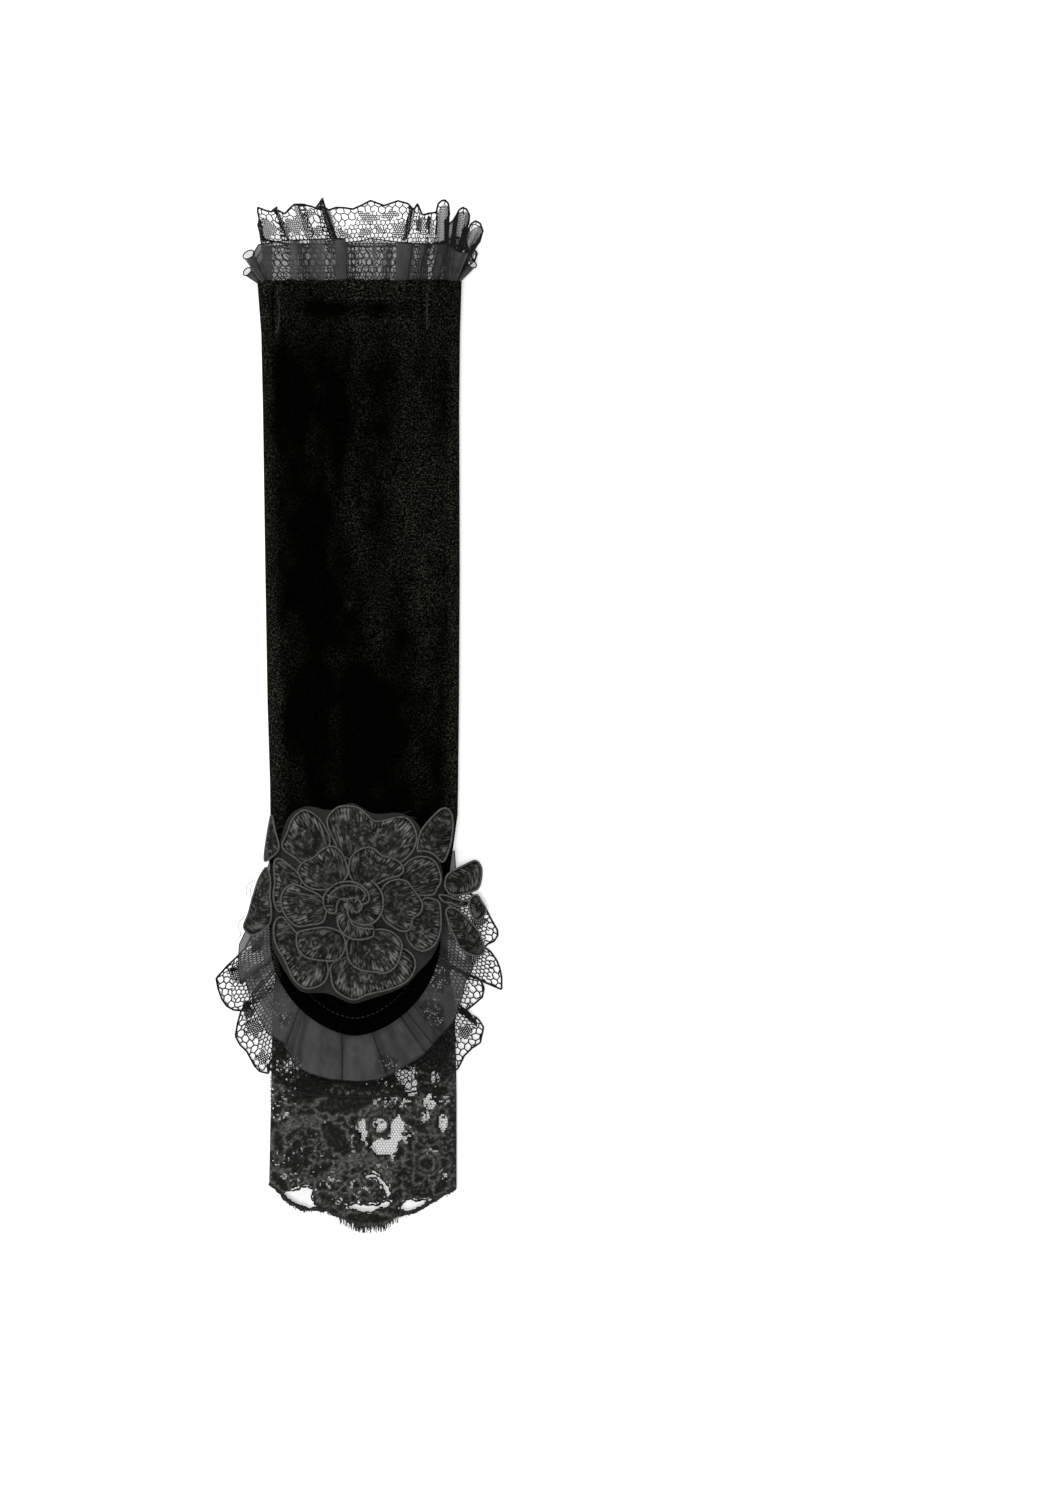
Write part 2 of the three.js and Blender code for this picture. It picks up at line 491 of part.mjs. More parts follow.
// The sleeve: closed rings down to the palm-side hem, then only the upper half, which is the tongue.
function velvetSleeve() {
  const endRows = TONGUE_END_ANGLES.map((angle) => TONGUE_SHOULDER
    - TONGUE_REACH * Math.sin(THREE.MathUtils.degToRad(angle)));
  const ys = [...RING_ROWS, ...TONGUE_ROWS, ...endRows];
  const point = (column, row, depth) => {
    const y = ys[row];
    const turn = (TURN * column) / SLEEVE_COLUMNS;
    if (y >= PALM_HEM) {
      const [x, z] = tubePoint(readTable(SLEEVE, 'y', y), turn, depth);
      return [x, y, z];
    }
    const { left, right } = tongueEdges(y);
    const x = (left + right) / 2 + ((right - left) / 2) * Math.cos(turn);
    return [x, y, velvetHeight(x, y) - depth];
  };
  return clothWall({
    columns: SLEEVE_COLUMNS,
    rows: ys.length - 1,
    ring: true,
    face: (column, row) => point(column, row, 0),
    back: (column, row) => point(column, row, VELVET_WALL),
    has: (column, row) => row < RING_ROWS.length - 1 || column < SLEEVE_COLUMNS / 2,
  });
}

// The hand tube, its rows drawn down to the scalloped finger edge, with the open places of its lace.
function laceHand() {
  const last = HAND_ROWS[HAND_ROWS.length - 1];
  const point = (column, row, depth) => {
    const level = HAND_ROWS[row];
    const [x, z] = tubePoint(readTable(HAND, 'y', level), (TURN * column) / HAND_COLUMNS, depth);
    const share = Math.max(0, (level - FINGER_EDGE_START) / (last - FINGER_EDGE_START));
    const end = readTable(FINGER_EDGE, 'x', x).y;
    const y = share > 0 ? FINGER_EDGE_START + share * (end - FINGER_EDGE_START) : level;
    return [x, y, z];
  };
  const tube = clothWall({
    columns: HAND_COLUMNS,
    rows: HAND_ROWS.length - 1,
    ring: true,
    face: (column, row) => point(column, row, 0),
    back: (column, row) => point(column, row, SHEER_WALL),
  });
  const posts = HAND_HOLES.map((hole) => ovalPost(hole, HOLE_FROM, HOLE_SIDES));
  return cutPosts(tube, posts);
}

// A ruffle round the arm opening: soft folds that deepen towards its rim, and never go under the floor.
// Its rows stand at fixed places up to the last one, which is its rim.
function armRuffle({ inset, columns, levels, rim }) {
  const point = (column, row, depth) => {
    const turn = (TURN * column) / columns;
    const y = row < levels.length ? levels[row] : rim(turn);
    const loose = THREE.MathUtils.smoothstep(y, ARM_HEM, ARM_ORGANZA_EDGE);
    const fold = (ARM_FOLD_DEPTH / 2) * loose * (1 + Math.sin(ARM_FOLDS * turn + Math.sin(2 * turn)));
    const section = readTable(ARM_RUFFLE, 'y', y);
    const [x, z] = tubePoint(section, turn, inset + depth);
    const lowered = Math.sin(turn) >= 0 ? fold : fold / 2;
    return [x - fold * Math.cos(turn), y, z - lowered * Math.sin(turn)];
  };
  return clothWall({
    columns,
    rows: levels.length,
    ring: true,
    face: (column, row) => point(column, row, 0),
    back: (column, row) => point(column, row, SHEER_WALL),
  });
}

function topOrganzaRuffle() {
  return armRuffle({
    inset: 0, columns: ARM_ORGANZA_COLUMNS, levels: ARM_RUFFLE_LEVELS, rim: () => ARM_ORGANZA_EDGE,
  });
}

function topLaceRuffle() {
  const ends = ARM_LACE_RIM[ARM_LACE_RIM.length - 1].x + ARM_LACE_RIM[0].x;
  const half = (ARM_LACE_RIM[ARM_LACE_RIM.length - 1].x - ARM_LACE_RIM[0].x) / 2;
  const rim = (turn) => readTable(ARM_LACE_RIM, 'x', ends / 2 + half * Math.cos(turn)).y;
  const levels = [...ARM_RUFFLE_LEVELS, ARM_ORGANZA_EDGE];
  const ruffle = armRuffle({ inset: ARM_LACE_INSET, columns: ARM_LACE_COLUMNS, levels, rim });
  const { count, first, last, y, size } = ARM_LACE_GAPS;
  const posts = [];
  for (let i = 0; i < count; i += 1) {
    const x = THREE.MathUtils.lerp(first, last, i / (count - 1));
    posts.push(ovalPost({ x, y, wide: size, high: size, turn: 0 }, BELOW_ALL, LACE_GAP_SIDES));
  }
  return cutPosts(ruffle, posts);
}

// The line that both lower ruffles are gathered on: a little in from the edge of the tongue.
function gatherLine() {
  const points = [];
  for (const y of GATHER_DOWN_LEFT) {
    points.push(new THREE.Vector3(tongueEdges(y).left + RUFFLE_TUCK, y, 0));
  }
  const half = TONGUE_HALF - RUFFLE_TUCK;
  const reach = TONGUE_REACH - RUFFLE_TUCK;
  for (let angle = 180; angle >= 0; angle -= GATHER_STEP) {
    const cosine = Math.cos(THREE.MathUtils.degToRad(angle));
    const x = TONGUE_MIDDLE + half * Math.sign(cosine) * Math.abs(cosine) ** (2 * TONGUE_POINT);
    const y = TONGUE_SHOULDER - reach * Math.sin(THREE.MathUtils.degToRad(angle));
    points.push(new THREE.Vector3(x, y, 0));
  }
  for (const y of GATHER_UP_RIGHT) {
    points.push(new THREE.Vector3(tongueEdges(y).right - RUFFLE_TUCK, y, 0));
  }
  return new THREE.CatmullRomCurve3(points, false, 'centripetal');
}

const GATHER_LINE = gatherLine();

// The place of a lower ruffle in plan: along its gathered line, and a share of the way out to its rim.
function ruffleSpot(table, along, out) {
  const fold = readFolds(table, along);
  const start = GATHER_LINE.getPointAt(along);
  const way = GATHER_LINE.getTangentAt(along);
  const reach = fold.reach + RUFFLE_TUCK;
  const x = start.x + out * (way.y * reach + way.x * fold.lean);
  const y = start.y + out * (-way.x * reach + way.y * fold.lean);
  return { x, y, rise: fold.rise * THREE.MathUtils.smoothstep(out * reach, RUFFLE_TUCK, reach), reach };
}

function lowerRuffle({ table, shares, base }) {
  const columns = 2 * (table.length - 1);
  const point = (column, row, lift) => {
    const from = table[Math.floor(column / 2)].along;
    const to = table[Math.ceil(column / 2)].along;
    const { x, y, rise } = ruffleSpot(table, (from + to) / 2, shares[row]);
    return [x, y, drapeHeight(x, y) + base + rise + lift];
  };
  return clothWall({
    columns,
    rows: shares.length - 1,
    ring: false,
    face: (column, row) => point(column, row, SHEER_WALL),
    back: (column, row) => point(column, row, 0),
  });
}

function lowerOrganzaRuffle() {
  return lowerRuffle({
    table: LOWER_ORGANZA, shares: ORGANZA_SHARES, base: ORGANZA_RUFFLE_BASE,
  });
}

function lowerLaceRuffle() {
  const ruffle = lowerRuffle({
    table: LOWER_LACE, shares: LACE_SHARES, base: LACE_RUFFLE_BASE,
  });
  const { inFromRim, size } = LOWER_LACE_GAPS;
  const posts = LOWER_LACE_GAP_PLACES.map((along) => {
    const { reach } = ruffleSpot(LOWER_LACE, along, 1);
    const { x, y } = ruffleSpot(LOWER_LACE, along, 1 - inFromRim / reach);
    return ovalPost({ x, y, wide: size, high: size, turn: 0 }, BELOW_ALL, LACE_GAP_SIDES);
  });
  return cutPosts(ruffle, posts);
}

// A pad of embroidery on the velvet: a smooth outline, thicker towards its middle, its back draped.
function rosePad({ outline, level, spokes, rings, edge, thick }) {
  const corners = outline.map(([x, y]) => new THREE.Vector3(ROSE_AT.x + x, ROSE_AT.y + y, 0));
  const line = new THREE.CatmullRomCurve3(corners, true, 'centripetal');
  const rim = line.getSpacedPoints(spokes).slice(0, spokes);
  const centre = new THREE.Vector3();
  for (const spot of rim) {
    centre.addScaledVector(spot, 1 / spokes);
  }
  const positions = [];
  for (const lifted of [true, false]) {
    const push = (spot, share) => {
      const puff = lifted ? THREE.MathUtils.lerp(thick, edge, share ** 2) : 0;
      positions.push(spot.x, spot.y, velvetHeight(spot.x, spot.y) + level + puff);
    };
    push(centre, 0);
    for (const ring of rings) {
      for (const spot of rim) {
        push(centre.clone().lerp(spot, ring), ring);
      }
    }
  }
  const backStart = 1 + rings.length * spokes;
  const indices = [];
  const face = (a, b, c) => indices.push(a, b, c, a + backStart, c + backStart, b + backStart);
  for (let i = 0; i < spokes; i += 1) {
    const next = (i + 1) % spokes;
    face(0, 1 + i, 1 + next);
    for (let ring = 1; ring < rings.length; ring += 1) {
      const inner = 1 + (ring - 1) * spokes;
      const outer = inner + spokes;
      face(inner + i, outer + i, outer + next);
      face(inner + i, outer + next, inner + next);
    }
    const wall = 1 + (rings.length - 1) * spokes;
    indices.push(wall + i, wall + i + backStart, wall + next + backStart);
    indices.push(wall + i, wall + next + backStart, wall + next);
  }
  return closedGeometry(positions, indices);
}

const wristWarmer = new THREE.Group();

function addPiece(name, geometry, material) {
  const mesh = new THREE.Mesh(geometry, material);
  mesh.name = name;
  wristWarmer.add(mesh);
}

addPiece('velvet_sleeve', velvetSleeve(), VELVET);
addPiece('lace_hand', laceHand(), LACE);
addPiece('top_organza_ruffle', topOrganzaRuffle(), ORGANZA);
addPiece('top_lace_ruffle', topLaceRuffle(), LACE);
addPiece('lower_organza_ruffle', lowerOrganzaRuffle(), ORGANZA);
addPiece('lower_lace_ruffle', lowerLaceRuffle(), LACE);
addPiece('rose_net', rosePad({ outline: NET_OUTLINE, level: NET_LEVEL, ...NET_PAD }), NET);
for (const { name, level, outline } of ROSE_PADS) {
  addPiece(name, rosePad({ outline, level, ...PAD }), THREAD);
}

export default wristWarmer;
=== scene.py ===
"""A fingerless wrist warmer in black velvet, organza and lace with an embroidered rose, lying flat.

Sizes are in millimetres and are turned into metres where a mesh is made. +Y runs towards the elbow.
"""
import math

import bpy
import numpy as np
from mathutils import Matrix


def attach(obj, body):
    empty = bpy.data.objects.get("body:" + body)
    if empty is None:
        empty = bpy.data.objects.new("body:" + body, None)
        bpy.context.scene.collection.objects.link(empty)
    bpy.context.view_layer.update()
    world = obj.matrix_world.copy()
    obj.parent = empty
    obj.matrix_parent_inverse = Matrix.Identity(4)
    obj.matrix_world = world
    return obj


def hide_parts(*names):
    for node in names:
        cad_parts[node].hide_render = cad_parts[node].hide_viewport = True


bl_info = {
    "name": "Wrist warmer",
    "version": (1, 0, 0),
    "blender": (4, 5, 0),
    "location": "View3D > Sidebar > Wrist warmer",
    "description": "Dresses a velvet wrist warmer with ruffles, net lace and an embroidered rose",
    "category": "Object",
}

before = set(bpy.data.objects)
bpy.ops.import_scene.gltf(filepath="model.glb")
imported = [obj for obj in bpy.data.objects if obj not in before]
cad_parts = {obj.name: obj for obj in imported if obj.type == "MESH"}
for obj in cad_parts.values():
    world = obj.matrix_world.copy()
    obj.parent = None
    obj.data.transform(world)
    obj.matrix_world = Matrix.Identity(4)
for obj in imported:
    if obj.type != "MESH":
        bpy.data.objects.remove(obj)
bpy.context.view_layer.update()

MM = 0.001
UP = np.array([0.0, 0.0, 1.0])
TINY = 1e-9


def table(columns, rows):
    """A short table with named columns, each an array."""
    return dict(zip(columns.split(), np.array(rows, float).T))


def read(rows, place, column, key="y"):
    """One column of a table at a place, straight between its rows."""
    order = np.argsort(rows[key])
    return np.interp(place, rows[key][order], rows[column][order])


# --- Sizes that the cloths share with the solids, in millimetres ---

VELVET_WALL = 1.3
LACE_BASE = 0.5
ORGANZA_BASE = 2.0
TONGUE_TOP = 4.8
ARM_HEM = 182.7
PALM_HEM = -42.0
TONGUE_SHOULDER = -93.7
TONGUE_REACH = 41.0
TONGUE_HALF = 36.0
TONGUE_MIDDLE = -1.5
TONGUE_POINT = 0.6
TONGUE_BLEND = 12.0
RUFFLE_TUCK = 3.0
DRAPE_HALF = 1.05
DRAPE_STEEP = 8
TOP_FULLNESS = 2.5
SOLE_FLAT = 0.75

SLEEVE = table("y left right side top", [
    (182.7, -42.7, 43.3, 7, 20), (160, -41, 42.6, 6.6, 18.6), (128, -40.3, 42.3, 6.3, 17.4),
    (60, -39.3, 42.5, 6, 16.4), (6, -38.4, 42.2, 5.8, 16), (-30, -37.3, 41.8, 5.6, 16), (-42, -37.2, 41.6, 5.6, 16)])
HAND = table("y left right side top sole", [
    (-32, -34.5, 37.5, 4.4, 11.2, 1.8), (-43, -34.5, 37.5, 4.2, 11.2, 1.8), (-50, -34.5, 37.5, 4, 11.2, 0),
    (-100, -34.5, 37.5, 4, 11.2, 0), (-126, -36.4, 40.6, 4, 11.2, 0), (-160, -37, 41.2, 3.8, 10.6, 0),
    (-216, -38.2, 41.2, 3.4, 9.4, 0)])
FINGER_EDGE = table("x y", [
    (-38, -197.6), (-34, -200.6), (-30, -205.6), (-23.6, -208.5), (-14, -208.9), (-6, -212.5), (1.3, -215.7),
    (10.1, -214.9), (15.8, -211.2), (23.7, -209.3), (31.8, -204.5), (41, -199.6)])
ROSE_AT = (-1.9, -79.4)
PAD_EDGE = 0.75
PAD_THICK = 1.05
LEVELS = {"net": 0.9, "outer": 1.9, "middle": 3.45, "heart": 5.0, "bud": 6.55}


def bulge(cosine):
    """How high the top of a lying tube stands, from 0 at its side to 1 in the middle."""
    return np.sqrt(np.maximum(0, 1 - np.abs(cosine) ** TOP_FULLNESS))


def middle_half(rows, y):
    """Middle and half width of a lying cloth at a y."""
    left, right = read(rows, y, "left"), read(rows, y, "right")
    return (left + right) / 2, (right - left) / 2


def tube_point(rows, y, turn, depth):
    """x and z of a lying cloth tube at a turn round it, set in from its outer face."""
    middle, half = middle_half(rows, y)
    side, top = read(rows, y, "side"), read(rows, y, "top")
    sole = (read(rows, y, "sole") if "sole" in rows else 0) + depth
    cosine = np.cos(turn)
    corner = np.maximum(0, (np.abs(cosine) - SOLE_FLAT) / (1 - SOLE_FLAT))
    over = side + (top - depth - side) * bulge(cosine)
    under = side - (side - sole) * np.sqrt(np.maximum(0, 1 - corner ** 2))
    return middle + (half - depth) * cosine, np.where(np.sin(turn) >= 0, over, under)


def tube_height(rows, x, y, depth, top=True, inset=0.0, limit=1.0):
    """Height of a lying tube's upper or lower face at a place."""
    middle, half = middle_half(rows, y)
    turn = np.arccos(np.clip((x - middle) / (half - inset), -limit, limit))
    return tube_point(rows, y, turn * (1 if top else -1), depth)[1]


def drape_height(x, y):
    """The form that the cloths over the hand drape to."""
    middle, half = middle_half(HAND, y)
    return read(HAND, y, "top") / (1 + (np.abs(x - middle) / half / DRAPE_HALF) ** DRAPE_STEEP)


def velvet_height(x, y):
    """The upper face of the velvet at a place."""
    middle, half = middle_half(SLEEVE, y)
    side = read(SLEEVE, y, "side")
    sleeve = side + (read(SLEEVE, y, "top") - side) * bulge(np.minimum(1, np.abs(x - middle) / half))
    draped = drape_height(x, y) + TONGUE_TOP
    return np.where(y > PALM_HEM - TONGUE_BLEND, np.maximum(sleeve, draped), draped)


# --- Small tools ---

SPLINE_STEPS = 8
SHORTEST_THREAD = 0.05


def scatter(*values, seed=0.0):
    """A number from 0 to 1 that depends on places alone, the same in every run."""
    mixed = seed * 17.31
    for index, value in enumerate(values):
        mixed = mixed + np.asarray(value, float) * (127.1 + 184.6 * index)
    return np.mod(np.abs(np.sin(mixed) * 43758.5453), 1.0)


def soft_noise(x, y, size, seed=0.0):
    """Smooth noise from -1 to 1 over the plan, with lumps of a size in millimetres."""
    x, y = np.asarray(x, float) / size, np.asarray(y, float) / size
    low_x, low_y = np.floor(x), np.floor(y)
    part_x, part_y = x - low_x, y - low_y
    part_x, part_y = part_x ** 2 * (3 - 2 * part_x), part_y ** 2 * (3 - 2 * part_y)
    near = scatter(low_x, low_y, seed=seed) * (1 - part_x) + scatter(low_x + 1, low_y, seed=seed) * part_x
    far = scatter(low_x, low_y + 1, seed=seed) * (1 - part_x) + scatter(low_x + 1, low_y + 1, seed=seed) * part_x
    return 2 * (near * (1 - part_y) + far * part_y) - 1


def smoothstep(value, low, high):
    share = np.clip((np.asarray(value, float) - low) / (high - low), 0, 1)
    return share ** 2 * (3 - 2 * share)


def joined(x, y, z):
    """Points from their x, y and z."""
    return np.stack([x, y, z], axis=-1)


def unit(vectors):
    """The vectors, each made one long."""
    return vectors / np.maximum(np.linalg.norm(vectors, axis=1), TINY)[:, None]


def path_ways(path, closed):
    """The way that a path goes at each of its points."""
    return np.roll(path, -1, axis=0) - np.roll(path, 1, axis=0) if closed else np.gradient(path, axis=0)


def sideways(way):
    """Level directions across ways, and those across both."""
    side = np.cross(way, UP)
    steep = np.linalg.norm(side, axis=1) < 0.05
    side[steep] = np.cross(way[steep], [1.0, 0.0, 0.0])
    side = unit(side)
    return side, np.cross(side, way)


def distances(points, least=0.0):
    """How far along their line each of the points lies."""
    return np.concatenate([[0], np.cumsum(np.maximum(np.linalg.norm(np.diff(points, axis=0), axis=1), least))])


def points_at(places, gone, points):
    """Places on a line, straight between its points."""
    return np.stack([np.interp(places, gone, axis) for axis in points.T], axis=-1)


def along_line(points, step, closed=False):
    """Points spaced evenly on straight stretches between points."""
    points = np.vstack([points, points[:1]]) if closed else points
    gone = distances(points)
    places = np.linspace(0, gone[-1], max(3, int(round(gone[-1] / step))) + 1)
    return points_at(places[:-1] if closed else places, gone, points)


def smooth_line(points, step, closed=False):
    """A smooth line through points, in even steps."""
    points = np.asarray(points, float)
    if closed:
        rows = np.vstack([points[-1:], points, points[:2]])
    else:
        rows = np.vstack([2 * points[:1] - points[1:2], points, 2 * points[-1:] - points[-2:-1]])
    share = np.arange(SPLINE_STEPS)[:, None] / SPLINE_STEPS
    parts = [0.5 * (2 * b + (c - a) * share + (2 * a - 5 * b + 4 * c - d) * share ** 2
                    + (3 * b - a - 3 * c + d) * share ** 3)
             for a, b, c, d in zip(rows[:-3], rows[1:-2], rows[2:-1], rows[3:])]
    return along_line(np.vstack(parts if closed else parts + [points[-1:]]), step, closed)


def quads(index):
    """The four corners of each field of a grid of corner numbers."""
    return np.stack([index[:-1, :-1], index[:-1, 1:], index[1:, 1:], index[1:, :-1]], axis=-1)


class Cloth:
    """Collects corners, faces and a shade for each corner, and makes one mesh of them."""

    def __init__(self):
        self.corners, self.faces, self.shades, self.count = [], [], [], 0

    def add(self, corners, faces, shade=0.5):
        """Takes corners and faces. The faces' numbers start at the first of these corners."""
        corners = np.asarray(corners, float).reshape(-1, 3)
        self.corners.append(corners)
        self.faces.append(faces.reshape(-1, 4) + self.count)
        self.shades.append(np.broadcast_to(shade, len(corners)))
        self.count += len(corners)

    def grid(self, points, shade=0.5, ring=False):
        """A sheet from points of rows by columns, closed across where it is a ring."""
        size = points.shape[:2]
        index = np.arange(size[0] * size[1]).reshape(size)
        if ring:
            index = np.hstack([index, index[:, :1]])
        self.add(points, quads(index), np.broadcast_to(shade, size).reshape(-1))

    def cord(self, path, radius, sides=5, closed=False, shade=0.5):
        """A round cord along a path. Its radius and shade may change from point to point."""
        side, rise = sideways(unit(path_ways(path, closed)))
        turn = np.arange(sides) * 2 * math.pi / sides
        ring = side[:, None] * np.cos(turn)[:, None] + rise[:, None] * np.sin(turn)[:, None]
        points = path[:, None] + np.broadcast_to(radius, len(path))[:, None, None] * ring
        shades = np.repeat(np.broadcast_to(shade, len(path)), sides)
        index = np.arange(len(path) * sides).reshape(len(path), sides)
        index = np.hstack([index, index[:, :1]])
        if closed:
            index = np.vstack([index, index[:1]])
        faces = quads(index)[..., [0, 3, 2, 1]].reshape(-1, 4)
        if not closed:
            points = np.vstack([points.reshape(-1, 3), path[:1], path[-1:]])
            shades = np.append(shades, shades[[0, -1]])
            first, last = len(path) * sides, len(path) * sides + 1
            start, stop = index[0], index[-1]
            caps = [(first, start[i], start[i + 1], first) for i in range(sides)]
            caps += [(last, stop[i + 1], stop[i], last) for i in range(sides)]
            faces = np.vstack([faces, caps])
        self.add(points, faces, shades)

    def threads(self, starts, ends, radius, shade):
        """Many straight, three-sided threads."""
        way = ends - starts
        long = np.linalg.norm(way, axis=1)
        keep = long > SHORTEST_THREAD
        starts, ends, way = starts[keep], ends[keep], way[keep] / long[keep, None]
        side, rise = sideways(way)
        rings = []
        for turn in (math.pi / 2, math.pi * 7 / 6, math.pi * 11 / 6):
            out = radius * (side * math.cos(turn) + rise * math.sin(turn))
            rings.append(np.stack([starts + out, ends + out], axis=1))
        base = (np.arange(len(starts)) * 6)[:, None]
        walls = ((0, 1, 3, 2), (2, 3, 5, 4), (4, 5, 1, 0), (0, 2, 4, 0), (1, 5, 3, 1))
        self.add(np.stack(rings, axis=1), np.concatenate([base + wall for wall in walls]), shade)

    def finish(self, name, material, slot, *nodes):
        """Makes the object, which rides on the one body and stands for the CAD nodes."""
        mesh = bpy.data.meshes.new(name)
        rows = [row[:3] if row[0] == row[3] else row for row in np.vstack(self.faces).tolist()]
        mesh.from_pydata((np.vstack(self.corners) * MM).tolist(), [], rows)
        mesh.validate()
        mesh.attributes.new("shade", "FLOAT", "POINT").data.foreach_set("value", np.concatenate(self.shades))
        mesh.polygons.foreach_set("use_smooth", [True] * len(mesh.polygons))
        piece = bpy.data.objects.new(name, mesh)
        bpy.context.scene.collection.objects.link(piece)
        mesh.materials.append(material)
        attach(piece, "root")
        if nodes:
            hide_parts(*nodes)
        return piece


def mend(piece, operator):
    """Runs one of Blender's mesh operators on a whole piece and leaves the piece active."""
    bpy.ops.object.select_all(action="DESELECT")
    piece.select_set(True)
    bpy.context.view_layer.objects.active = piece
    bpy.ops.object.mode_set(mode="EDIT")
    bpy.ops.mesh.select_all(action="SELECT")
    operator()
    bpy.ops.object.mode_set(mode="OBJECT")


# --- Materials ---

def set_sockets(node, values):
    for name, value in values.items():
        node.inputs[name].default_value = value


class Look:
    """One cloth's material. What is the same all over is set on its shader."""

    def __init__(self, name, roughness, specular, alpha=1.0, sheen=0.0, sheen_roughness=0.4):
        self.material = bpy.data.materials.new(name)
        self.material.use_nodes = True
        self.tree = self.material.node_tree
        self.shader = self.tree.nodes["Principled BSDF"]
        set_sockets(self.shader, {"Roughness": roughness, "Specular IOR Level": specular, "Alpha": alpha,
                                  "Sheen Weight": sheen, "Sheen Roughness": sheen_roughness})

    def link(self, source, node, socket):
        self.tree.links.new(source, node.inputs[socket])

    def noise(self, scale, detail):
        """Noise over the object's own space."""
        place = self.tree.nodes.new("ShaderNodeTexCoord")
        noise = self.tree.nodes.new("ShaderNodeTexNoise")
        set_sockets(noise, {"Scale": scale, "Detail": detail})
        self.link(place.outputs["Object"], noise, "Vector")
        return noise.outputs["Fac"]

    def shade(self):
        """The shade that each corner carries."""
        shade = self.tree.nodes.new("ShaderNodeAttribute")
        shade.attribute_name = "shade"
        return shade.outputs["Fac"]

    def ramp(self, source, colour, *stops):
        """A run of tones of a colour over a value. Each stop is a place and a factor for the colour."""
        ramp = self.tree.nodes.new("ShaderNodeValToRGB")
        elements = ramp.color_ramp.elements
        for index, (place, factor) in enumerate(stops):
            element = elements[index] if index < 2 else elements.new(place)
            element.position = place
            element.color = (*(min(1.0, part * factor) for part in colour), 1.0)
        self.link(source, ramp, "Fac")
        return ramp.outputs["Color"]

    def mixed(self, one, other, share=None):
        """Two colours mixed by a share, or multiplied where there is none."""
        mix = self.tree.nodes.new("ShaderNodeMix")
        mix.data_type = "RGBA"
        if share is None:
            mix.blend_type = "MULTIPLY"
            mix.inputs["Factor"].default_value = 1.0
        else:
            self.link(share, mix, "Factor")
        self.link(one, mix, 6)
        self.link(other, mix, 7)
        return mix.outputs[2]

    def finish(self, colour, bump=None):
        """Gives the shader its colour and a fine bump: scale, detail, strength and height in millimetres."""
        self.link(colour, self.shader, "Base Color")
        if bump:
            scale, detail, strength, distance = bump
            node = self.tree.nodes.new("ShaderNodeBump")
            set_sockets(node, {"Strength": strength, "Distance": distance * MM})
            self.link(self.noise(scale, detail), node, "Height")
            self.link(node.outputs["Normal"], self.shader, "Normal")
        return self.material


def velvet_material(colour):
    """Short pile: nearly black, with lighter fibre tips where the shade is high; that shade holds painted sheen,
    painted shadow and painted highlights besides random tone.
    """
    look = Look("velvet", 1.0, 0.0, sheen=0.06, sheen_roughness=0.22)
    specks = look.ramp(look.noise(1600, 4), colour, (0.44, 0.3), (0.54, 2.4), (0.67, 19.0))
    deep = look.ramp(look.noise(1500, 3), colour, (0.45, 0.05), (0.7, 0.7))
    return look.finish(look.mixed(deep, specks, look.shade()), (1900, 2, 0.5, 0.15))


def organza_material(name, colour, alpha):
    """Thin crisp cloth that is seen through. Its shade darkens it at the pleats: painted shade."""
    look = Look(name, 0.55, 0.25, alpha=alpha, sheen=0.05)
    return look.finish(look.ramp(look.shade(), colour, (0.0, 0.25), (1.0, 1.35)), (2500, 1, 0.25, 0.05))


def thread_material(name, colour, roughness=0.75, spread=1.6, specular=0.15):
    """Thread whose grey follows the shade that each corner carries."""
    if name in bpy.data.materials:
        return bpy.data.materials[name]
    look = Look(name, roughness, specular)
    grey = look.ramp(look.shade(), colour, (0.0, 0.12), (1.0, spread))
    fibre = look.ramp(look.noise(2200, 2), (1.0, 1.0, 1.0), (0.35, 0.7), (0.65, 1.0))
    return look.finish(look.mixed(grey, fibre))


def sheer_material(name, colour, alpha):
    """Net too fine to show its holes."""
    look = Look(name, 0.7, 0.2, alpha=alpha)
    return look.finish(look.ramp(look.noise(1600, 2), colour, (0.35, 0.75), (0.65, 1.25)), (1900, 1, 0.4, 0.08))


# --- Velvet sleeve ---

SLEEVE_COLUMNS = 144
RING_STEP = 1.3
TONGUE_END_STEPS = 40
TACKS = ((-35.0, 178.5, 160.0), (27.9, 178.5, 161.5))
SEAM_Y = 174.7
STITCH = 1.3
STITCH_PITCH = 2.2
TOPSTITCH_IN = 7.4
SEAM_SHOWS = 9.0
SEAM_MIDDLE = 5.0
SEAM_SPAN = (-36, 37.5)
SEAM_LIFT = 0.25
TOPSTITCH_FROM = -62
TOPSTITCH_LIFT = 0.06
STITCH_RADIUS = 0.19
STITCH_ARCH = 0.2
CREASE_HIGHLIGHT_RADIUS = 0.2
TONGUE_END_ANGLE = 88.5
PUCKERS_FROM = 172


def tongue_edge(angle, inset=0.0):
    """x and y of the tongue's rounded end at an angle from its left to its right shoulder."""
    cosine = np.cos(angle)
    x = TONGUE_MIDDLE + (TONGUE_HALF - inset) * np.sign(cosine) * np.abs(cosine) ** (2 * TONGUE_POINT)
    return x, TONGUE_SHOULDER - (TONGUE_REACH - inset) * np.sin(angle)


def tongue_sides(y):
    """x of the tongue's two edges at a y."""
    down = np.clip((TONGUE_SHOULDER - y) / TONGUE_REACH, 0, 1)
    half = TONGUE_HALF * (1 - down ** 2) ** TONGUE_POINT
    share = np.clip((PALM_HEM - y) / (PALM_HEM - TONGUE_SHOULDER), 0, 1)
    hem_left, hem_right = read(SLEEVE, PALM_HEM, "left"), read(SLEEVE, PALM_HEM, "right")
    above = y >= TONGUE_SHOULDER
    left = np.where(above, hem_left + share * (TONGUE_MIDDLE - TONGUE_HALF - hem_left), TONGUE_MIDDLE - half)
    right = np.where(above, hem_right + share * (TONGUE_MIDDLE + TONGUE_HALF - hem_right), TONGUE_MIDDLE + half)
    return left, right


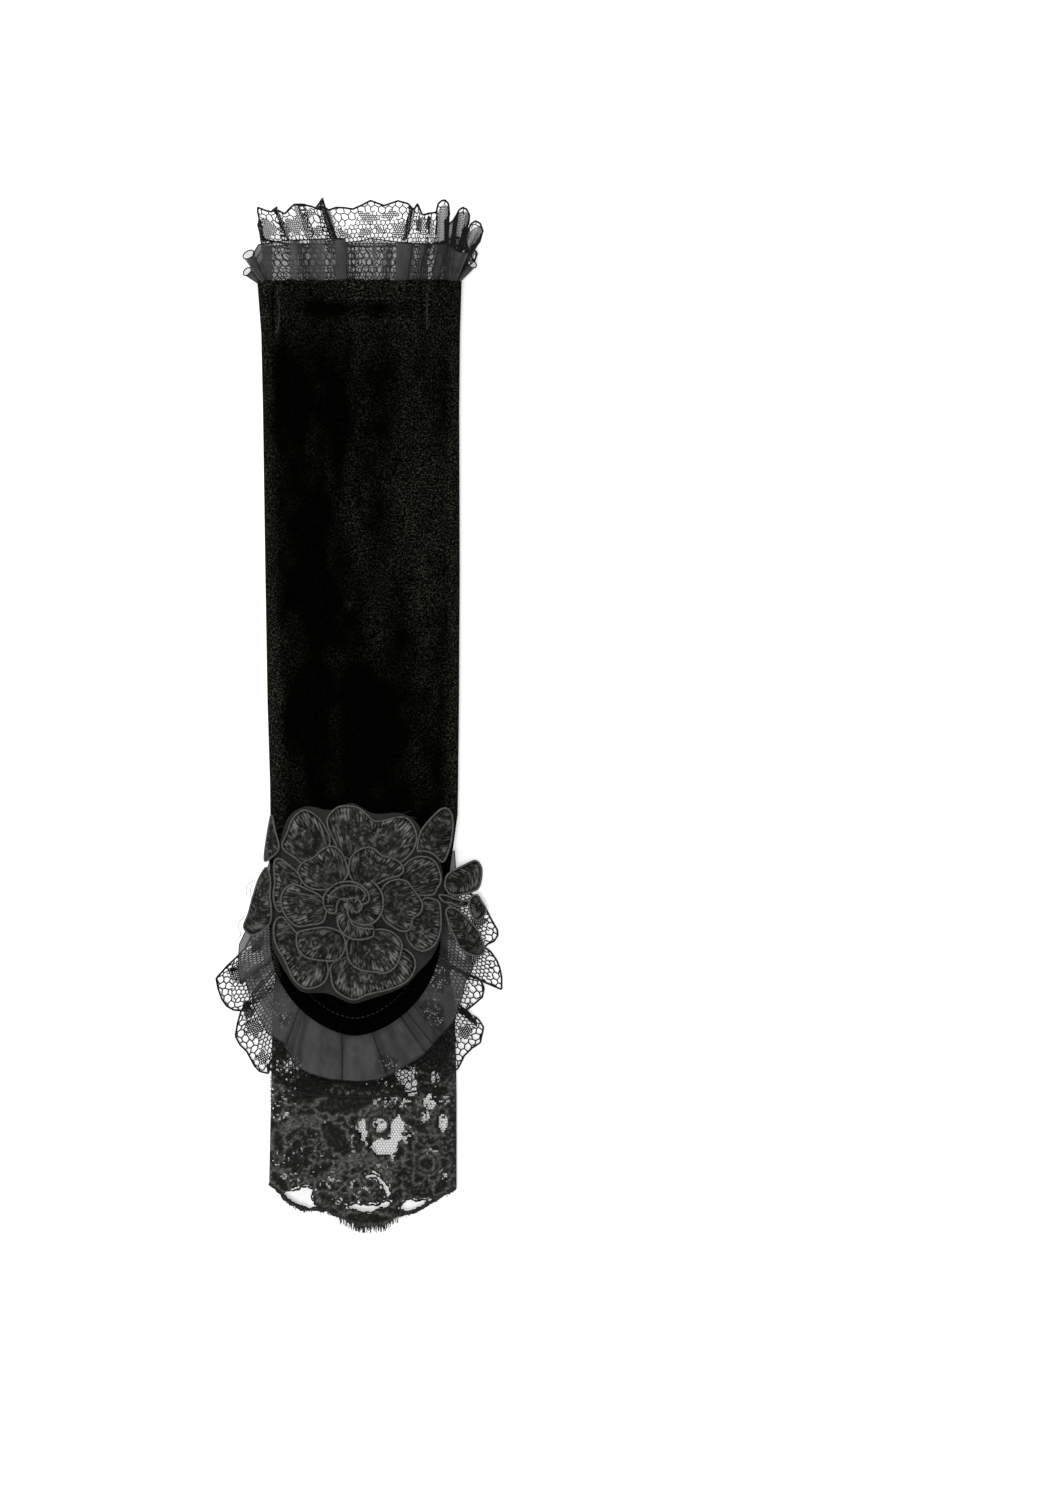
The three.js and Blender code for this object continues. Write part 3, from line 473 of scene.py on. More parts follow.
def on_tack(y, top, bottom):
    """1 between the ends of a tacked crease, 0 past them."""
    return smoothstep(y, bottom - 2, bottom + 2) * (1 - smoothstep(y, top - 1, top + 2))


def velvet_relief(x, y):
    """Soft unevenness of the pile, puckers under the ruffles and two tacked creases."""
    relief = 0.22 * soft_noise(x, y, 16, 3) + 0.1 * soft_noise(x, y, 5, 4)
    puckers = smoothstep(y, 168, 182) * 0.28 * np.sin(x * 1.35 + 1.4 * soft_noise(x, y, 9, 6))
    for tack_x, top, bottom in TACKS:
        off = x - tack_x - 0.5 * soft_noise(y, 0 * y, 6, 8)
        relief = relief - 0.55 * on_tack(y, top, bottom) * np.exp(-(off / 0.7) ** 2)
    relief = relief - 0.45 * np.exp(-((y - SEAM_Y) / 0.8) ** 2)
    return relief - 0.12 + puckers


def velvet_tone_and_painted_light(x, y):
    """0 where the pile lies deep black, up to 1: painted sheen at the sides, lighter near the arm, painted shadow under
    the seam, painted highlight and shade at the tacked creases, random streaks and patches.
    """
    middle, half = middle_half(SLEEVE, y)
    # painted sheen: lighter at the sides, where the tube curves away
    edges = smoothstep(np.abs(x - middle) / half, 0.76, 0.98)
    arm = 0.75 * smoothstep(y, 128, 172)
    right_side = 0.4 * smoothstep(x, 2, 26) * smoothstep(y, -20, 40)
    left_side = 0.3 * (1 - smoothstep(x, -36, -20)) * smoothstep(y, -30, 30)
    streaks = 0.3 * soft_noise(x, y * 0.22, 9, 11) + 0.18 * soft_noise(x, y * 0.5, 4, 12)
    cloud = 0.25 * soft_noise(x, y, 26, 13)
    # painted shadow under the arm's seam
    fold = -0.6 * np.exp(-((y - SEAM_Y + 4) / 3.5) ** 2) * (1 - smoothstep(np.abs(x), 16, 30))
    tongue = -0.5 * (1 - smoothstep(y, -60, -30))
    # painted highlight along the edge of each tacked crease, with painted shade beside it
    for tack_x, top, bottom in TACKS:
        tongue = tongue + on_tack(y, top, bottom) * (1.1 * np.exp(-((x - tack_x - 0.8) / 0.8) ** 2)
                                                     - 0.5 * np.exp(-((x - tack_x + 0.9) / 0.9) ** 2))
    return np.clip(0.02 + np.maximum(edges, np.maximum(arm, right_side + left_side)) + streaks + cloud + fold
                   + tongue, 0, 1)


def velvet_sleeve(settings):
    """The sleeve and its tongue, with a wall and puckers."""
    ring_y = np.linspace(ARM_HEM, PALM_HEM, int((ARM_HEM - PALM_HEM) / RING_STEP))
    side_y = np.linspace(PALM_HEM, TONGUE_SHOULDER, int((PALM_HEM - TONGUE_SHOULDER) / RING_STEP))[1:]
    end_turn = np.linspace(0, math.radians(TONGUE_END_ANGLE), TONGUE_END_STEPS)[1:]
    end_y = TONGUE_SHOULDER - TONGUE_REACH * np.sin(end_turn)
    turn = np.arange(SLEEVE_COLUMNS) * 2 * math.pi / SLEEVE_COLUMNS
    cloth = Cloth()
    y, around = np.meshgrid(ring_y, turn, indexing="ij")
    x, z = tube_point(SLEEVE, y, around, 0)
    z = z + velvet_relief(x, y) * np.maximum(0, np.sin(around))
    puckers = 0.35 * soft_noise(x, 0 * x, 4, 21) + 0.15 * soft_noise(x, z, 1.2, 22) - 0.2
    y = y + smoothstep(y, PUCKERS_FROM, ARM_HEM) * puckers
    cloth.grid(joined(x, y, z), velvet_tone_and_painted_light(x, y), ring=True)
    half = SLEEVE_COLUMNS // 2 + 1
    y, around = np.meshgrid(np.concatenate([side_y, end_y]), turn[:half], indexing="ij")
    left, right = tongue_sides(y)
    x = (left + right) / 2 + (right - left) / 2 * np.cos(around)
    inwards = np.minimum(x - left, right - x)
    over = np.sin(around) + (smoothstep(inwards, 0, 4) - np.sin(around)) * smoothstep(-y, -PALM_HEM, -PALM_HEM + 18)
    z = velvet_height(x, y) + velvet_relief(x, y) * over - 0.25 * (1 - smoothstep(inwards, 0, 1.6))
    # the tongue hangs on the upper half of the sleeve's last ring
    rows = np.vstack([np.arange(half) - SLEEVE_COLUMNS, np.arange(x.size).reshape(x.shape)])
    cloth.add(joined(x, y, z), quads(rows), velvet_tone_and_painted_light(x, y).reshape(-1))
    piece = cloth.finish("velvet_cloth", velvet_material(settings.velvet_colour), "velvet", "velvet_sleeve")
    mend(piece, bpy.ops.mesh.normals_make_consistent)
    wall = piece.modifiers.new("wall", "SOLIDIFY")
    wall.thickness = VELVET_WALL * MM
    wall.offset = -1
    bpy.ops.object.modifier_apply(modifier=wall.name)


def velvet_stitches(settings):
    """The stitches along the tongue's edge and at the arm's seam, and along each of the two tacked creases a light cord
    that stands for its edge catching light: a painted highlight.
    """
    stitches = Cloth()
    sides = np.linspace(TOPSTITCH_FROM, TONGUE_SHOULDER, 60)
    left, right = tongue_sides(sides)
    dots = along_line(np.concatenate([
        np.stack([right - TOPSTITCH_IN, sides], axis=1),
        np.stack(tongue_edge(np.linspace(0, math.pi, 400), TOPSTITCH_IN), axis=1),
        np.stack([left + TOPSTITCH_IN, sides], axis=1)[::-1]]), STITCH_PITCH)
    seam_x = np.arange(*SEAM_SPAN, STITCH_PITCH)
    seam = np.stack([seam_x, SEAM_Y + 0.25 * np.sin(seam_x)], axis=1)
    share = np.linspace(-0.5, 0.5, 5)
    for at_seam, spots, ways in ((False, dots, unit(path_ways(dots, False))),
                                 (True, seam, np.tile([1.0, 0.02], (len(seam), 1)))):
        for spot, way in zip(spots, ways):
            if at_seam and abs(spot[0] - SEAM_MIDDLE) > SEAM_SHOWS and scatter(spot[0], seed=15.0) < 0.85:
                continue
            x, y = (spot + share[:, None] * STITCH * way).T
            height = velvet_height(x, y) + (SEAM_LIFT if at_seam else TOPSTITCH_LIFT)
            sunk = 0.2 * scatter(spot[0], spot[1], seed=14.0)
            arch = STITCH_ARCH * (1 - (2 * share) ** 2) - sunk
            light = 1.0 if at_seam else 0.6 - 0.35 * smoothstep(abs(spot[0]), 6, 18)
            stitches.cord(joined(x, y, height + arch), STITCH_RADIUS, shade=light - sunk)
    # painted highlight: a light cord on each tacked crease where its edge catches light
    for tack_x, top, bottom in TACKS:
        y = np.linspace(top, bottom, 40)
        x = tack_x + 0.9 + 0.9 * np.sin((y - bottom) / (top - bottom) * math.pi) * (tack_x < 0)
        shade = np.clip(0.5 + 0.7 * soft_noise(x, y, 1.6, 31), 0.1, 1)
        stitches.cord(joined(x, y, velvet_height(x, y) + 0.1), CREASE_HIGHLIGHT_RADIUS, shade=shade)
    stitches.finish("velvet_stitches", thread_material("stitch_thread", settings.thread_colour), "velvet")


# --- Ruffles: strips of cloth between a base line and a rim line ---

ORGANZA_STEP = 0.6


class Strip:
    """A strip between two lines of stations, with a place along it and a share of the way out."""

    def __init__(self, base, rim, bow=0.0):
        self.gone = distances(rim, 1e-6)
        self.length, self.base, self.rim, self.bow = self.gone[-1], base, rim, bow
        self.tall = np.linalg.norm(rim - base, axis=1)

    def at(self, place, out):
        """Points at places along the strip, from 0 at its base to 1 at its rim."""
        place, out = np.broadcast_arrays(place, out)
        base, rim = points_at(place, self.gone, self.base), points_at(place, self.gone, self.rim)
        point = base + (rim - base) * out[..., None]
        point[..., 2] += self.bow * 4 * out * (1 - out)
        return point


def painted_pleat_shade(strip, folds, place, share):
    """Painted shade over a pleated strip: a painted shadow beside each fold and painted shade where it lies under
    another layer, with random tone in its panels and a little darker towards the base.
    """
    turns = strip.gone[:-1][np.diff(folds) != 0]
    near = np.min(np.abs(place[..., None] - turns), axis=-1) if len(turns) else np.full(place.shape, 9.0)
    under = np.interp(place, strip.gone, np.minimum(folds, 1))
    panel = (0.22 * soft_noise(place, share * 9, 5, 17) + 0.16 * soft_noise(place, share * 18, 1.7, 18)
             + 0.1 * soft_noise(place, share * 3, 0.9, 16))
    return np.clip(0.86 - 0.72 * np.exp(-(near / 2.3) ** 2) - 0.3 * under + 1.7 * panel - 0.14 * (1 - share), 0.05, 1)


def organza_ruffle(settings, name, node, strip, folds, rows, hem_radius, covers, find_clear):
    """A strip of organza and the rolled hem along its rim, with a clearer cloth where it lies in one layer."""
    cloth, hem = Cloth(), Cloth()
    places = np.linspace(0, strip.length, int(strip.length / ORGANZA_STEP))
    place, share = np.meshgrid(places, np.linspace(0, 1, rows))
    cloth.grid(strip.at(place, share), painted_pleat_shade(strip, folds, place, share))
    hem.cord(strip.at(places, 1.0), hem_radius, shade=0.25)
    pleated, single = (organza_material(name + part, settings.organza_colour, cover)
                       for part, cover in zip(("_cloth", "_single"), covers))
    piece = cloth.finish(name, pleated, "organza", node)
    place, share = ((grid[:-1, :-1] + grid[1:, 1:]) / 2 for grid in (place, share))
    clear = find_clear(strip.at(place, share), share)
    if len(piece.data.polygons) != clear.size:
        raise RuntimeError(name + " has lost faces")
    piece.data.materials.append(single)
    piece.data.polygons.foreach_set("material_index", clear.reshape(-1).astype(np.int32))
    return piece, hem.finish(name + "_hem", thread_material("hem_thread", settings.lace_colour), "organza")


def honeycomb(length, height, cell, seed):
    """Threads of an uneven honeycomb net over a strip: their two ends, along and out."""
    side = cell / math.sqrt(3)
    row_gap = cell * math.sqrt(3) / 2
    column, row = np.meshgrid(np.arange(-1, int(length / cell) + 2), np.arange(-1, int(height / row_gap) + 2))
    centre = np.stack([(column + 0.5 * (row % 2)) * cell, row * row_gap], axis=-1).reshape(-1, 2)
    top, right, left, low = (centre + off for off in (
        (0, side), (cell / 2, side / 2), (-cell / 2, side / 2), (cell / 2, -side / 2)))

    def shaken(points):
        x, y = np.round(points, 2).T
        return points + 0.24 * cell * (np.stack([scatter(x, y, seed=seed), scatter(y, x, seed=seed + 5)], axis=1) - 0.5)

    return shaken(np.vstack([top, top, right])), shaken(np.vstack([right, left, low]))


def turned(x, y, degrees):
    """A place in the axes of something that is turned."""
    angle = math.radians(degrees)
    return x * math.cos(angle) + y * math.sin(angle), y * math.cos(angle) - x * math.sin(angle)


def in_oval(x, y, rows, index, grow=0.0):
    """How far out a place lies from an oval's middle, 1 at its edge."""
    across, up = turned(x - rows["x"][index], y - rows["y"][index], rows["turn"][index])
    return np.hypot(across / (rows["wide"][index] / 2 + grow), up / (rows["high"][index] / 2 + grow))


def inside_motif(x, y, motifs, bands):
    """Which places lie in a worked motif: an oval with a petalled edge, or a plain one where pleats lie in bands."""
    found = np.zeros(np.shape(x), bool)
    for index in np.flatnonzero((motifs["petals"] == 0) == bands):
        turn = np.arctan2(y - motifs["y"][index], x - motifs["x"][index])
        found |= in_oval(x, y, motifs, index) < 0.92 + 0.2 * np.cos(motifs["petals"][index] * turn)
    return found


LACE_WORKED_FROM = 0.35
LACE_EDGE_STEP = 0.6
# Width of the cells and thickness of the threads, times the settings' own, and shade of the threads: in fine
# net, coarse net, worked motifs and pleats.
NET_ZONES = ((1, 1, 0.3), (1.5, 1.15, 0.3), (0.48, 1, 0.14), (0.38, 0.86, 0.3))


def net_lace(cloth, strip, settings, motifs, seed, zones, thicker=1.0):
    """Net over a strip: fine cells, bands of coarser ones, worked motifs and a scalloped edge cord.

    zones gives, at a place along and a share of the way out, 0 for fine cells and 1 for coarse ones.
    """
    cell, thread = settings.net_cell / MM, thicker * settings.net_thread / MM / 2
    length = strip.length

    def height_at(place):
        return np.interp(place, strip.gone, strip.tall)

    def to_cloth(points):
        place = np.clip(points[:, 0], 0, length)
        return strip.at(place, np.clip(points[:, 1] / height_at(place), 0, 1))

    for zone, (size, radius, shade) in enumerate(NET_ZONES):
        starts, ends = honeycomb(length, strip.tall.max(), cell * size, seed + zone)
        middle = (starts + ends) / 2
        share = middle[:, 1] / height_at(middle[:, 0])
        keep = (middle[:, 0] > 0) & (middle[:, 0] < length) & (share > 0) & (share < 1)
        starts, ends, middle, share = starts[keep], ends[keep], middle[keep], share[keep]
        x, y, _ = to_cloth(middle).T
        out = share > LACE_WORKED_FROM
        kind = np.where(out & inside_motif(x, y, motifs, False), 2, zones(middle[:, 0], share))
        keep = np.where(out & inside_motif(x, y, motifs, True), 3, kind) == zone
        cloth.threads(to_cloth(starts[keep]), to_cloth(ends[keep]), thread * radius, shade)
    rim = strip.at(np.linspace(0, length, int(length / LACE_EDGE_STEP)), 1.0)
    cloth.cord(rim, settings.edge_cord / MM / 2, shade=0.25)


def scallop(place, share, low=0.84, depth=0.17, pitch=26.0, shift=0.0):
    """The fine net's outer edge: round arches with valleys between them."""
    along = np.mod(place + shift, pitch) / pitch * 2 - 1
    return share > low + 0.05 - depth * np.abs(along) ** 3


# --- Ruffles at the arm opening ---

# Stations of the organza round the opening, from the front's left corner over the front to the right, down
# round the right side, back along the table and up the left side. fold is the layer that a pleat lies in.
ORGANZA_FRONT = table("x y fold", [
    (-42, 197.5, 0), (-34, 198.7, 0), (-29.2, 199.4, 0), (-24.4, 199, 0), (-27.8, 199.2, 1), (-23, 199.3, 2),
    (-12, 199.9, 0), (-5.1, 199.9, 0), (-13.6, 198.6, 1), (-5, 197.6, 2), (-8, 197.8, 3), (0.5, 198.8, 1),
    (5.8, 199.9, 0), (6.6, 199.7, 0), (17.2, 198.3, 0), (23.4, 197.8, 0), (16.4, 198, 1), (24, 197.6, 2),
    (28.7, 197.5, 0), (25.2, 197.5, 1), (30, 197.6, 2), (37.6, 197.6, 0), (33, 197.6, 1), (36, 197.6, 2)])
# Flutes at the sides, tubes with an open end: the middle of the rim, the base, and half the tube's width
# and height.
ORGANZA_RIGHT = table("x y z base_x base_z wide high", [
    (43.2, 195.6, 13, 39, 11.5, 3.5, 2.6), (47.6, 189.6, 8, 40, 7.6, 2.1, 2.6)])
ORGANZA_BACK = table("x y fold", [
    (38, 198, 0), (26, 198.4, 0), (30, 198.4, 1), (22, 198.4, 0), (10, 198.4, 0), (14, 198.4, 1), (4, 198.4, 0),
    (-8, 198.2, 0), (-4, 198.2, 1), (-14, 198, 0), (-26, 198, 0), (-22, 198, 1), (-32, 197.6, 0), (-40, 197, 0)])
ORGANZA_LEFT = table("x y z base_x base_z wide high", [
    (-46.9, 186.4, 6.4, -39.6, 5.8, 2, 2.5), (-46.2, 193.4, 11.6, -38.4, 10.4, 2.6, 3)])
# Stretches of the front, from left to right, where the organza lies in one layer.
ARM_CLEAR = table("left right", [
    (-36.4, -28.8), (-25.6, -20.6), (-14, -9.6), (-4.6, 6), (7.4, 15.8), (23.6, 26.2), (29, 31.8)])
FLUTE_STATIONS = 15
OPEN_END = 0.8
BASE_Y = 179.5
FRONT_BASE = 0.885
PLEAT_GAP = 0.28
ORGANZA_INSET = 0.1
ARM_BOW = 0.4
FORM_LIMIT = 0.985
BASE_SPAN = (-38.6, 39.2)
# How far a ruffle's base keeps from the velvet's sides and roof, its lowest place and the lowest roof.
BASE_SIDE_GAP = 3.0
BASE_ROOF_GAP = 0.9
BASE_FLOOR = 1.9
LEAST_ROOF = 2.4
# A flute's slit in radians, its lean, and how much narrower and lower its base is.
FLUTE_SLIT = 0.15
FLUTE_LEAN = 0.55
FLUTE_BASE_WIDE = 0.3
FLUTE_BASE_HIGH = 0.35

ARM_RUFFLE = table("y left right side top sole", [
    (174, -40, 40.9, 7.2, 17.5, 1.8), (183.5, -40.6, 41.2, 7.2, 18, 1.8), (190, -46.4, 44.4, 7.6, 19.4, 0.6),
    (199, -47.4, 46.4, 7.6, 20.4, 0), (206, -45.6, 54, 7.4, 19.6, 0), (218, -42.8, 50.6, 7, 18.6, 0)])


def arm_height(x, y, depth, top=True):
    """Height of the ruffles' form over or under the arm opening."""
    return tube_height(ARM_RUFFLE, x, y, depth, top, limit=FORM_LIMIT)


def inside_sleeve(points):
    """Keeps a ruffle's base under the velvet at the arm opening."""
    left, right = SLEEVE["left"][0] + BASE_SIDE_GAP, SLEEVE["right"][0] - BASE_SIDE_GAP
    points[:, 0] = np.clip(points[:, 0], left, right)
    roof = velvet_height(points[:, 0], np.full(len(points), ARM_HEM)) - VELVET_WALL - BASE_ROOF_GAP
    points[:, 2] = np.clip(points[:, 2], BASE_FLOOR, np.maximum(roof, LEAST_ROOF))
    return points


def front_stations(rows, depth, base_share, top=True):
    """Base and rim points of a ruffle's front or back, pleats included."""
    x, y = rows["x"], rows["y"]
    away = rows["fold"] * PLEAT_GAP * (-1 if top else 1)
    base_x = np.clip(x * base_share + rows.get("lean", 0), *BASE_SPAN)
    flat = np.full_like(y, BASE_Y)
    return (inside_sleeve(joined(base_x, flat, arm_height(base_x, flat, depth, top) + away)),
            joined(x, y, arm_height(x, y, depth, top) + away))


def flute_stations(rows, side):
    """Base and rim points round each flute, from below it on the left and from above it on the right."""
    base, rim = [], []
    for x, y, z, base_x, base_z, wide, high in zip(*rows.values()):
        along = np.array([x - base_x, y - BASE_Y]) / np.hypot(x - base_x, y - BASE_Y)
        inward = np.array([along[1], -along[0]]) * (-side)
        for turn in np.linspace(FLUTE_SLIT, 2 * math.pi - FLUTE_SLIT, FLUTE_STATIONS):
            over = math.sin(turn) * side
            edge = np.array([x, y]) + inward * wide * math.cos(turn) - along * FLUTE_LEAN * high * over
            rim.append((*edge, z + high * over))
            base.append((base_x + inward[0] * FLUTE_BASE_WIDE * wide * math.cos(turn), BASE_Y,
                         base_z + FLUTE_BASE_HIGH * high * over))
    return inside_sleeve(np.array(base)), np.array(rim)


def side_stations(rows):
    """Base and rim points at a side of the arm opening."""
    if "wide" in rows:
        return flute_stations(rows, math.copysign(1, rows["x"][0]))
    base = joined(rows["base_x"], np.full_like(rows["x"], BASE_Y), rows["base_z"])
    return inside_sleeve(base), joined(rows["x"], rows["y"], rows["z"])


def round_the_arm(parts):
    """One strip round the arm opening from its parts, and the layer of each of its stations."""
    stations = [side_stations(rows) if "z" in rows else front_stations(rows, depth, share, top)
                for rows, depth, share, top in parts]
    base, rim = (np.vstack([pair[side] for pair in stations]) for side in (0, 1))
    folds = np.concatenate([rows.get("fold", np.zeros(len(pair[0]))) for (rows, *_), pair in zip(parts, stations)])
    return Strip(np.vstack([base, base[:1]]), np.vstack([rim, rim[:1]]), ARM_BOW), np.append(folds, folds[0])


def arm_clear(spots, share):
    """Where the arm's organza lies in one layer: its back, some stretches of its front, and the flutes' mouths."""
    x, _, z = np.moveaxis(spots, -1, 0)
    clear = (z < 4.0) & (np.abs(x) < 36.0)
    for left, right in zip(*ARM_CLEAR.values()):
        clear |= (x > left) & (x < right)
    for rows, side in ((ORGANZA_RIGHT, 1), (ORGANZA_LEFT, -1)):
        beyond = x * side > 40.5
        middle = rows["z"][np.argmin(np.abs(spots[..., 1, None] - rows["y"]), axis=-1)]
        clear = np.where(beyond, (share > OPEN_END) & (z < middle), clear)
    return clear


def top_organza(settings):
    """The pleated organza round the arm opening, with its rolled hem."""
    strip, folds = round_the_arm(((ORGANZA_FRONT, ORGANZA_INSET, FRONT_BASE, True), (ORGANZA_RIGHT, 0, 0, True),
                                  (ORGANZA_BACK, ORGANZA_INSET, FRONT_BASE, False), (ORGANZA_LEFT, 0, 0, True)))
    piece, edge = organza_ruffle(settings, "arm_organza", "top_organza_ruffle", strip, folds, 12,
                                 settings.hem_cord / MM / 2, (settings.pleat_cover, settings.arm_cover), arm_clear)


# Rim of the lace's front from left to right: pleats step back and lie in a deeper fold, and the three
# fingers at the right are narrow flutes. lean is how far the base of a slanted pleat lies to the right.
LACE_FRONT = table("x y fold lean", [
    (-42.1, 213.2, 0, 1), (-39, 211.9, 0, 2), (-36.6, 211.3, 0, 3), (-34.3, 213.2, 0, 7), (-36.4, 211.6, 1, 5),
    (-34, 212, 2, 7), (-31, 210.4, 0, 6), (-28.6, 213, 0, 6), (-26.9, 214.4, 0, 6), (-22.3, 214.3, 0, 8),
    (-25.6, 213.6, 1, 5.6), (-22, 214, 2, 8), (-19.4, 213.4, 0, 7), (-16.6, 212.2, 0, 8), (-14.9, 217, 0, 10),
    (-17.9, 212.6, 1, 6.6), (-14.4, 213.2, 2, 10), (-12.5, 211.9, 0, 8), (-9.4, 213, 0, 6), (-6, 212.9, 0, 4),
    (-2.4, 212.3, 0, 3), (1.9, 214.2, 0, 2), (5, 215.9, 0, 1), (10.8, 213.8, 0, 0), (16.6, 215.8, 0, 0),
    (20.9, 214.6, 0, -1), (22.9, 212.2, 0, -2), (20.9, 212.8, 1, -2.6), (23.4, 212.4, 2, -2), (24.8, 214.6, 0, 1.2),
    (26.8, 209.9, 0, 1.5), (30.4, 210.6, 0, 2.2), (28.6, 210.4, 1, 2.3), (31.2, 210.8, 2, 2.4), (32.6, 211, 0, 2.6),
    (33.4, 214.6, 0, 3.1), (35, 216, 0, 2.9), (36.4, 216.2, 0, 3.3), (37.8, 214.6, 0, 3.7), (38.2, 209.8, 1, 4.1),
    (36.2, 207, 2, 4.5), (37, 205.4, 3, 4), (39.6, 207.4, 3, 2.9), (40.8, 209.4, 2, 2.1), (42.3, 212.2, 1, 1.2),
    (43.8, 213.2, 1, 0.3), (45.4, 212.4, 1, -0.6), (46.6, 209.9, 2, -1.3), (46.2, 206, 4, -1.1), (43.6, 203.6, 5, 0.1)])
LACE_RIGHT = table("x y z base_x base_z", [
    (45.6, 203.2, 11.4, 37.2, 12.4), (47.4, 206.4, 12.2, 37.8, 12), (49.2, 207.6, 12.4, 38.2, 11.6),
    (51.2, 206.4, 12, 38.6, 11), (52.2, 203.4, 11, 38.8, 10), (50.8, 198.6, 9.4, 38.9, 8.8),
    (47.6, 197, 8.2, 38.9, 7.8), (49.8, 194, 7, 38.9, 6.8), (48.6, 190.6, 5.6, 38.8, 5.8),
    (46.4, 194.6, 4.2, 38.4, 4.8), (44.6, 200, 3, 37.4, 3.6)])
LACE_BACK = table("x y fold lean", [
    (40, 201, 0, 0), (34, 198.6, 0, 0), (28, 197.6, 0, 0), (31, 197.4, 1, 0), (24, 197, 0, 0), (12, 197.6, 0, 0),
    (15, 197.4, 1, 0), (6, 197, 0, 0), (-4, 197.4, 0, 0), (-1, 197.2, 1, 0), (-12, 198, 0, 0), (-22, 198, 0, 0),
    (-19, 197.8, 1, 0), (-30, 198.2, 0, 0), (-40, 200, 0, 0)])
LACE_LEFT = table("x y z base_x base_z", [
    (-41.6, 203, 3.2, -37.4, 4), (-42.4, 206, 5.4, -38, 5.6), (-41.8, 208.4, 7.6, -38.4, 7.4),
    (-42.4, 211.4, 10, -38.4, 9.4), (-42.4, 213, 12.6, -37.8, 11.6)])
LACE_INSET = 1.9
LACE_FRONT_BASE = 0.86
# Flowers and leaves worked in the arm lace, where they show.
ARM_MOTIFS = table("x y wide high turn petals", [
    (-38.2, 204, 7.5, 9, 20, 3), (-27, 205.5, 8.5, 8, 30, 5), (-20.5, 210.4, 4.4, 3.6, 0, 4),
    (-17.5, 203, 6, 4.5, 40, 5), (3.6, 208.8, 9, 4.6, 160, 5), (13.5, 209.8, 7.5, 4, 20, 4),
    (17.5, 203.4, 7.5, 8, 80, 5), (26.4, 205.4, 5.5, 8, 10, 5), (2.4, 202.4, 7, 3, 15, 3), (-6.5, 202, 7, 3, 150, 3),
    (9.5, 203.4, 6, 2.6, 150, 3), (-32.2, 206.4, 1.7, 14, 21, 0), (-23.7, 207.4, 2.9, 15, 21, 0),
    (-12.6, 208.4, 3.3, 18, 15, 0), (21.3, 206.6, 2.6, 14, -16, 0), (30.4, 203.4, 2, 11, 9, 0),
    (35.6, 205.4, 5.6, 16, -3, 0), (43, 203.8, 7, 14, -9, 0), (48.6, 198.8, 6, 12, -20, 0), (39.6, 202, 4, 10, -6, 0),
    (-11, 200.6, 4, 2.6, 0, 3)])


def arm_zones(place, share, front):
    """Coarse cells between the scallops at the rim, in a band lower down, and all over past the front's end."""
    return (scallop(place, share, shift=14.0) | ((share > 0.25) & (share < 0.43)) | (place > front)).astype(int)


def top_lace(settings):
    """The net lace round the arm opening, inside the organza and taller."""
    strip, _ = round_the_arm(((LACE_FRONT, LACE_INSET, LACE_FRONT_BASE, True), (LACE_RIGHT, 0, 0, True),
                              (LACE_BACK, LACE_INSET, LACE_FRONT_BASE, False), (LACE_LEFT, 0, 0, True)))
    cloth = Cloth()
    front = strip.gone[len(LACE_FRONT["x"]) + len(LACE_RIGHT["x"])]
    net_lace(cloth, strip, settings, ARM_MOTIFS, 2.0, lambda place, share: arm_zones(place, share, front))
    piece = cloth.finish("arm_lace", thread_material("lace_trim_thread", settings.lace_colour), "lace_trim",
                         "top_lace_ruffle")


# --- Ruffles along the tongue ---

GATHER_LEFT = (-52.0, -64.0, -78.0)
GATHER_RIGHT = (-78.0, -66.0, -56.0)

# Rims of the two lower ruffles, from the left end of the tongue's edge round to the right. along is the
# place on the gathered edge, and fold the layer that a pleat lies in.
LOWER_ORGANZA = table("along x y fold", [
    (0, -36, -52, 0), (0.06, -37.6, -62, 0), (0.12, -40.4, -74, 0), (0.17, -44.4, -84, 0), (0.205, -50.2, -96.4, 0),
    (0.225, -50.6, -102, 0), (0.25, -50.6, -108, 0), (0.262, -49.4, -113.2, 0), (0.245, -47.6, -108.4, 1),
    (0.265, -47, -114, 2), (0.285, -45.6, -119.4, 1), (0.27, -44.6, -115.6, 2), (0.295, -44.8, -120.6, 1),
    (0.325, -41.8, -127.6, 0), (0.35, -38, -133.7, 0), (0.375, -30.4, -138.6, 0), (0.352, -33.4, -135.4, 1),
    (0.385, -29, -142.6, 2), (0.392, -26.6, -147.4, 1), (0.42, -20, -150.6, 0), (0.45, -12.4, -152.8, 0),
    (0.482, -6.6, -153.4, 0), (0.455, -11, -152.4, 1), (0.49, -8.4, -153.2, 2), (0.505, -0.8, -153.8, 0),
    (0.528, 8.6, -153, 0), (0.545, 12.4, -151.6, 0), (0.52, 6, -152.6, 1), (0.55, 13, -151.2, 2),
    (0.58, 20.2, -147, 1), (0.605, 27.3, -142.8, 0), (0.615, 28.4, -141.6, 0), (0.585, 21.6, -145.2, 1),
    (0.618, 29, -140.8, 2), (0.65, 34.1, -135, 0), (0.625, 30.6, -138.2, 1), (0.66, 36, -133, 2),
    (0.685, 39.6, -129, 0), (0.72, 42.6, -121.6, 0), (0.745, 43.7, -117.2, 0), (0.76, 45, -111.6, 0),
    (0.782, 46.6, -110.4, 0), (0.765, 45.6, -111, 1), (0.79, 47.9, -106.7, 2), (0.81, 46.4, -99, 0),
    (0.84, 44.2, -90, 0), (0.88, 42.4, -80, 0), (0.94, 41, -68, 0), (1, 40.2, -57, 0)])
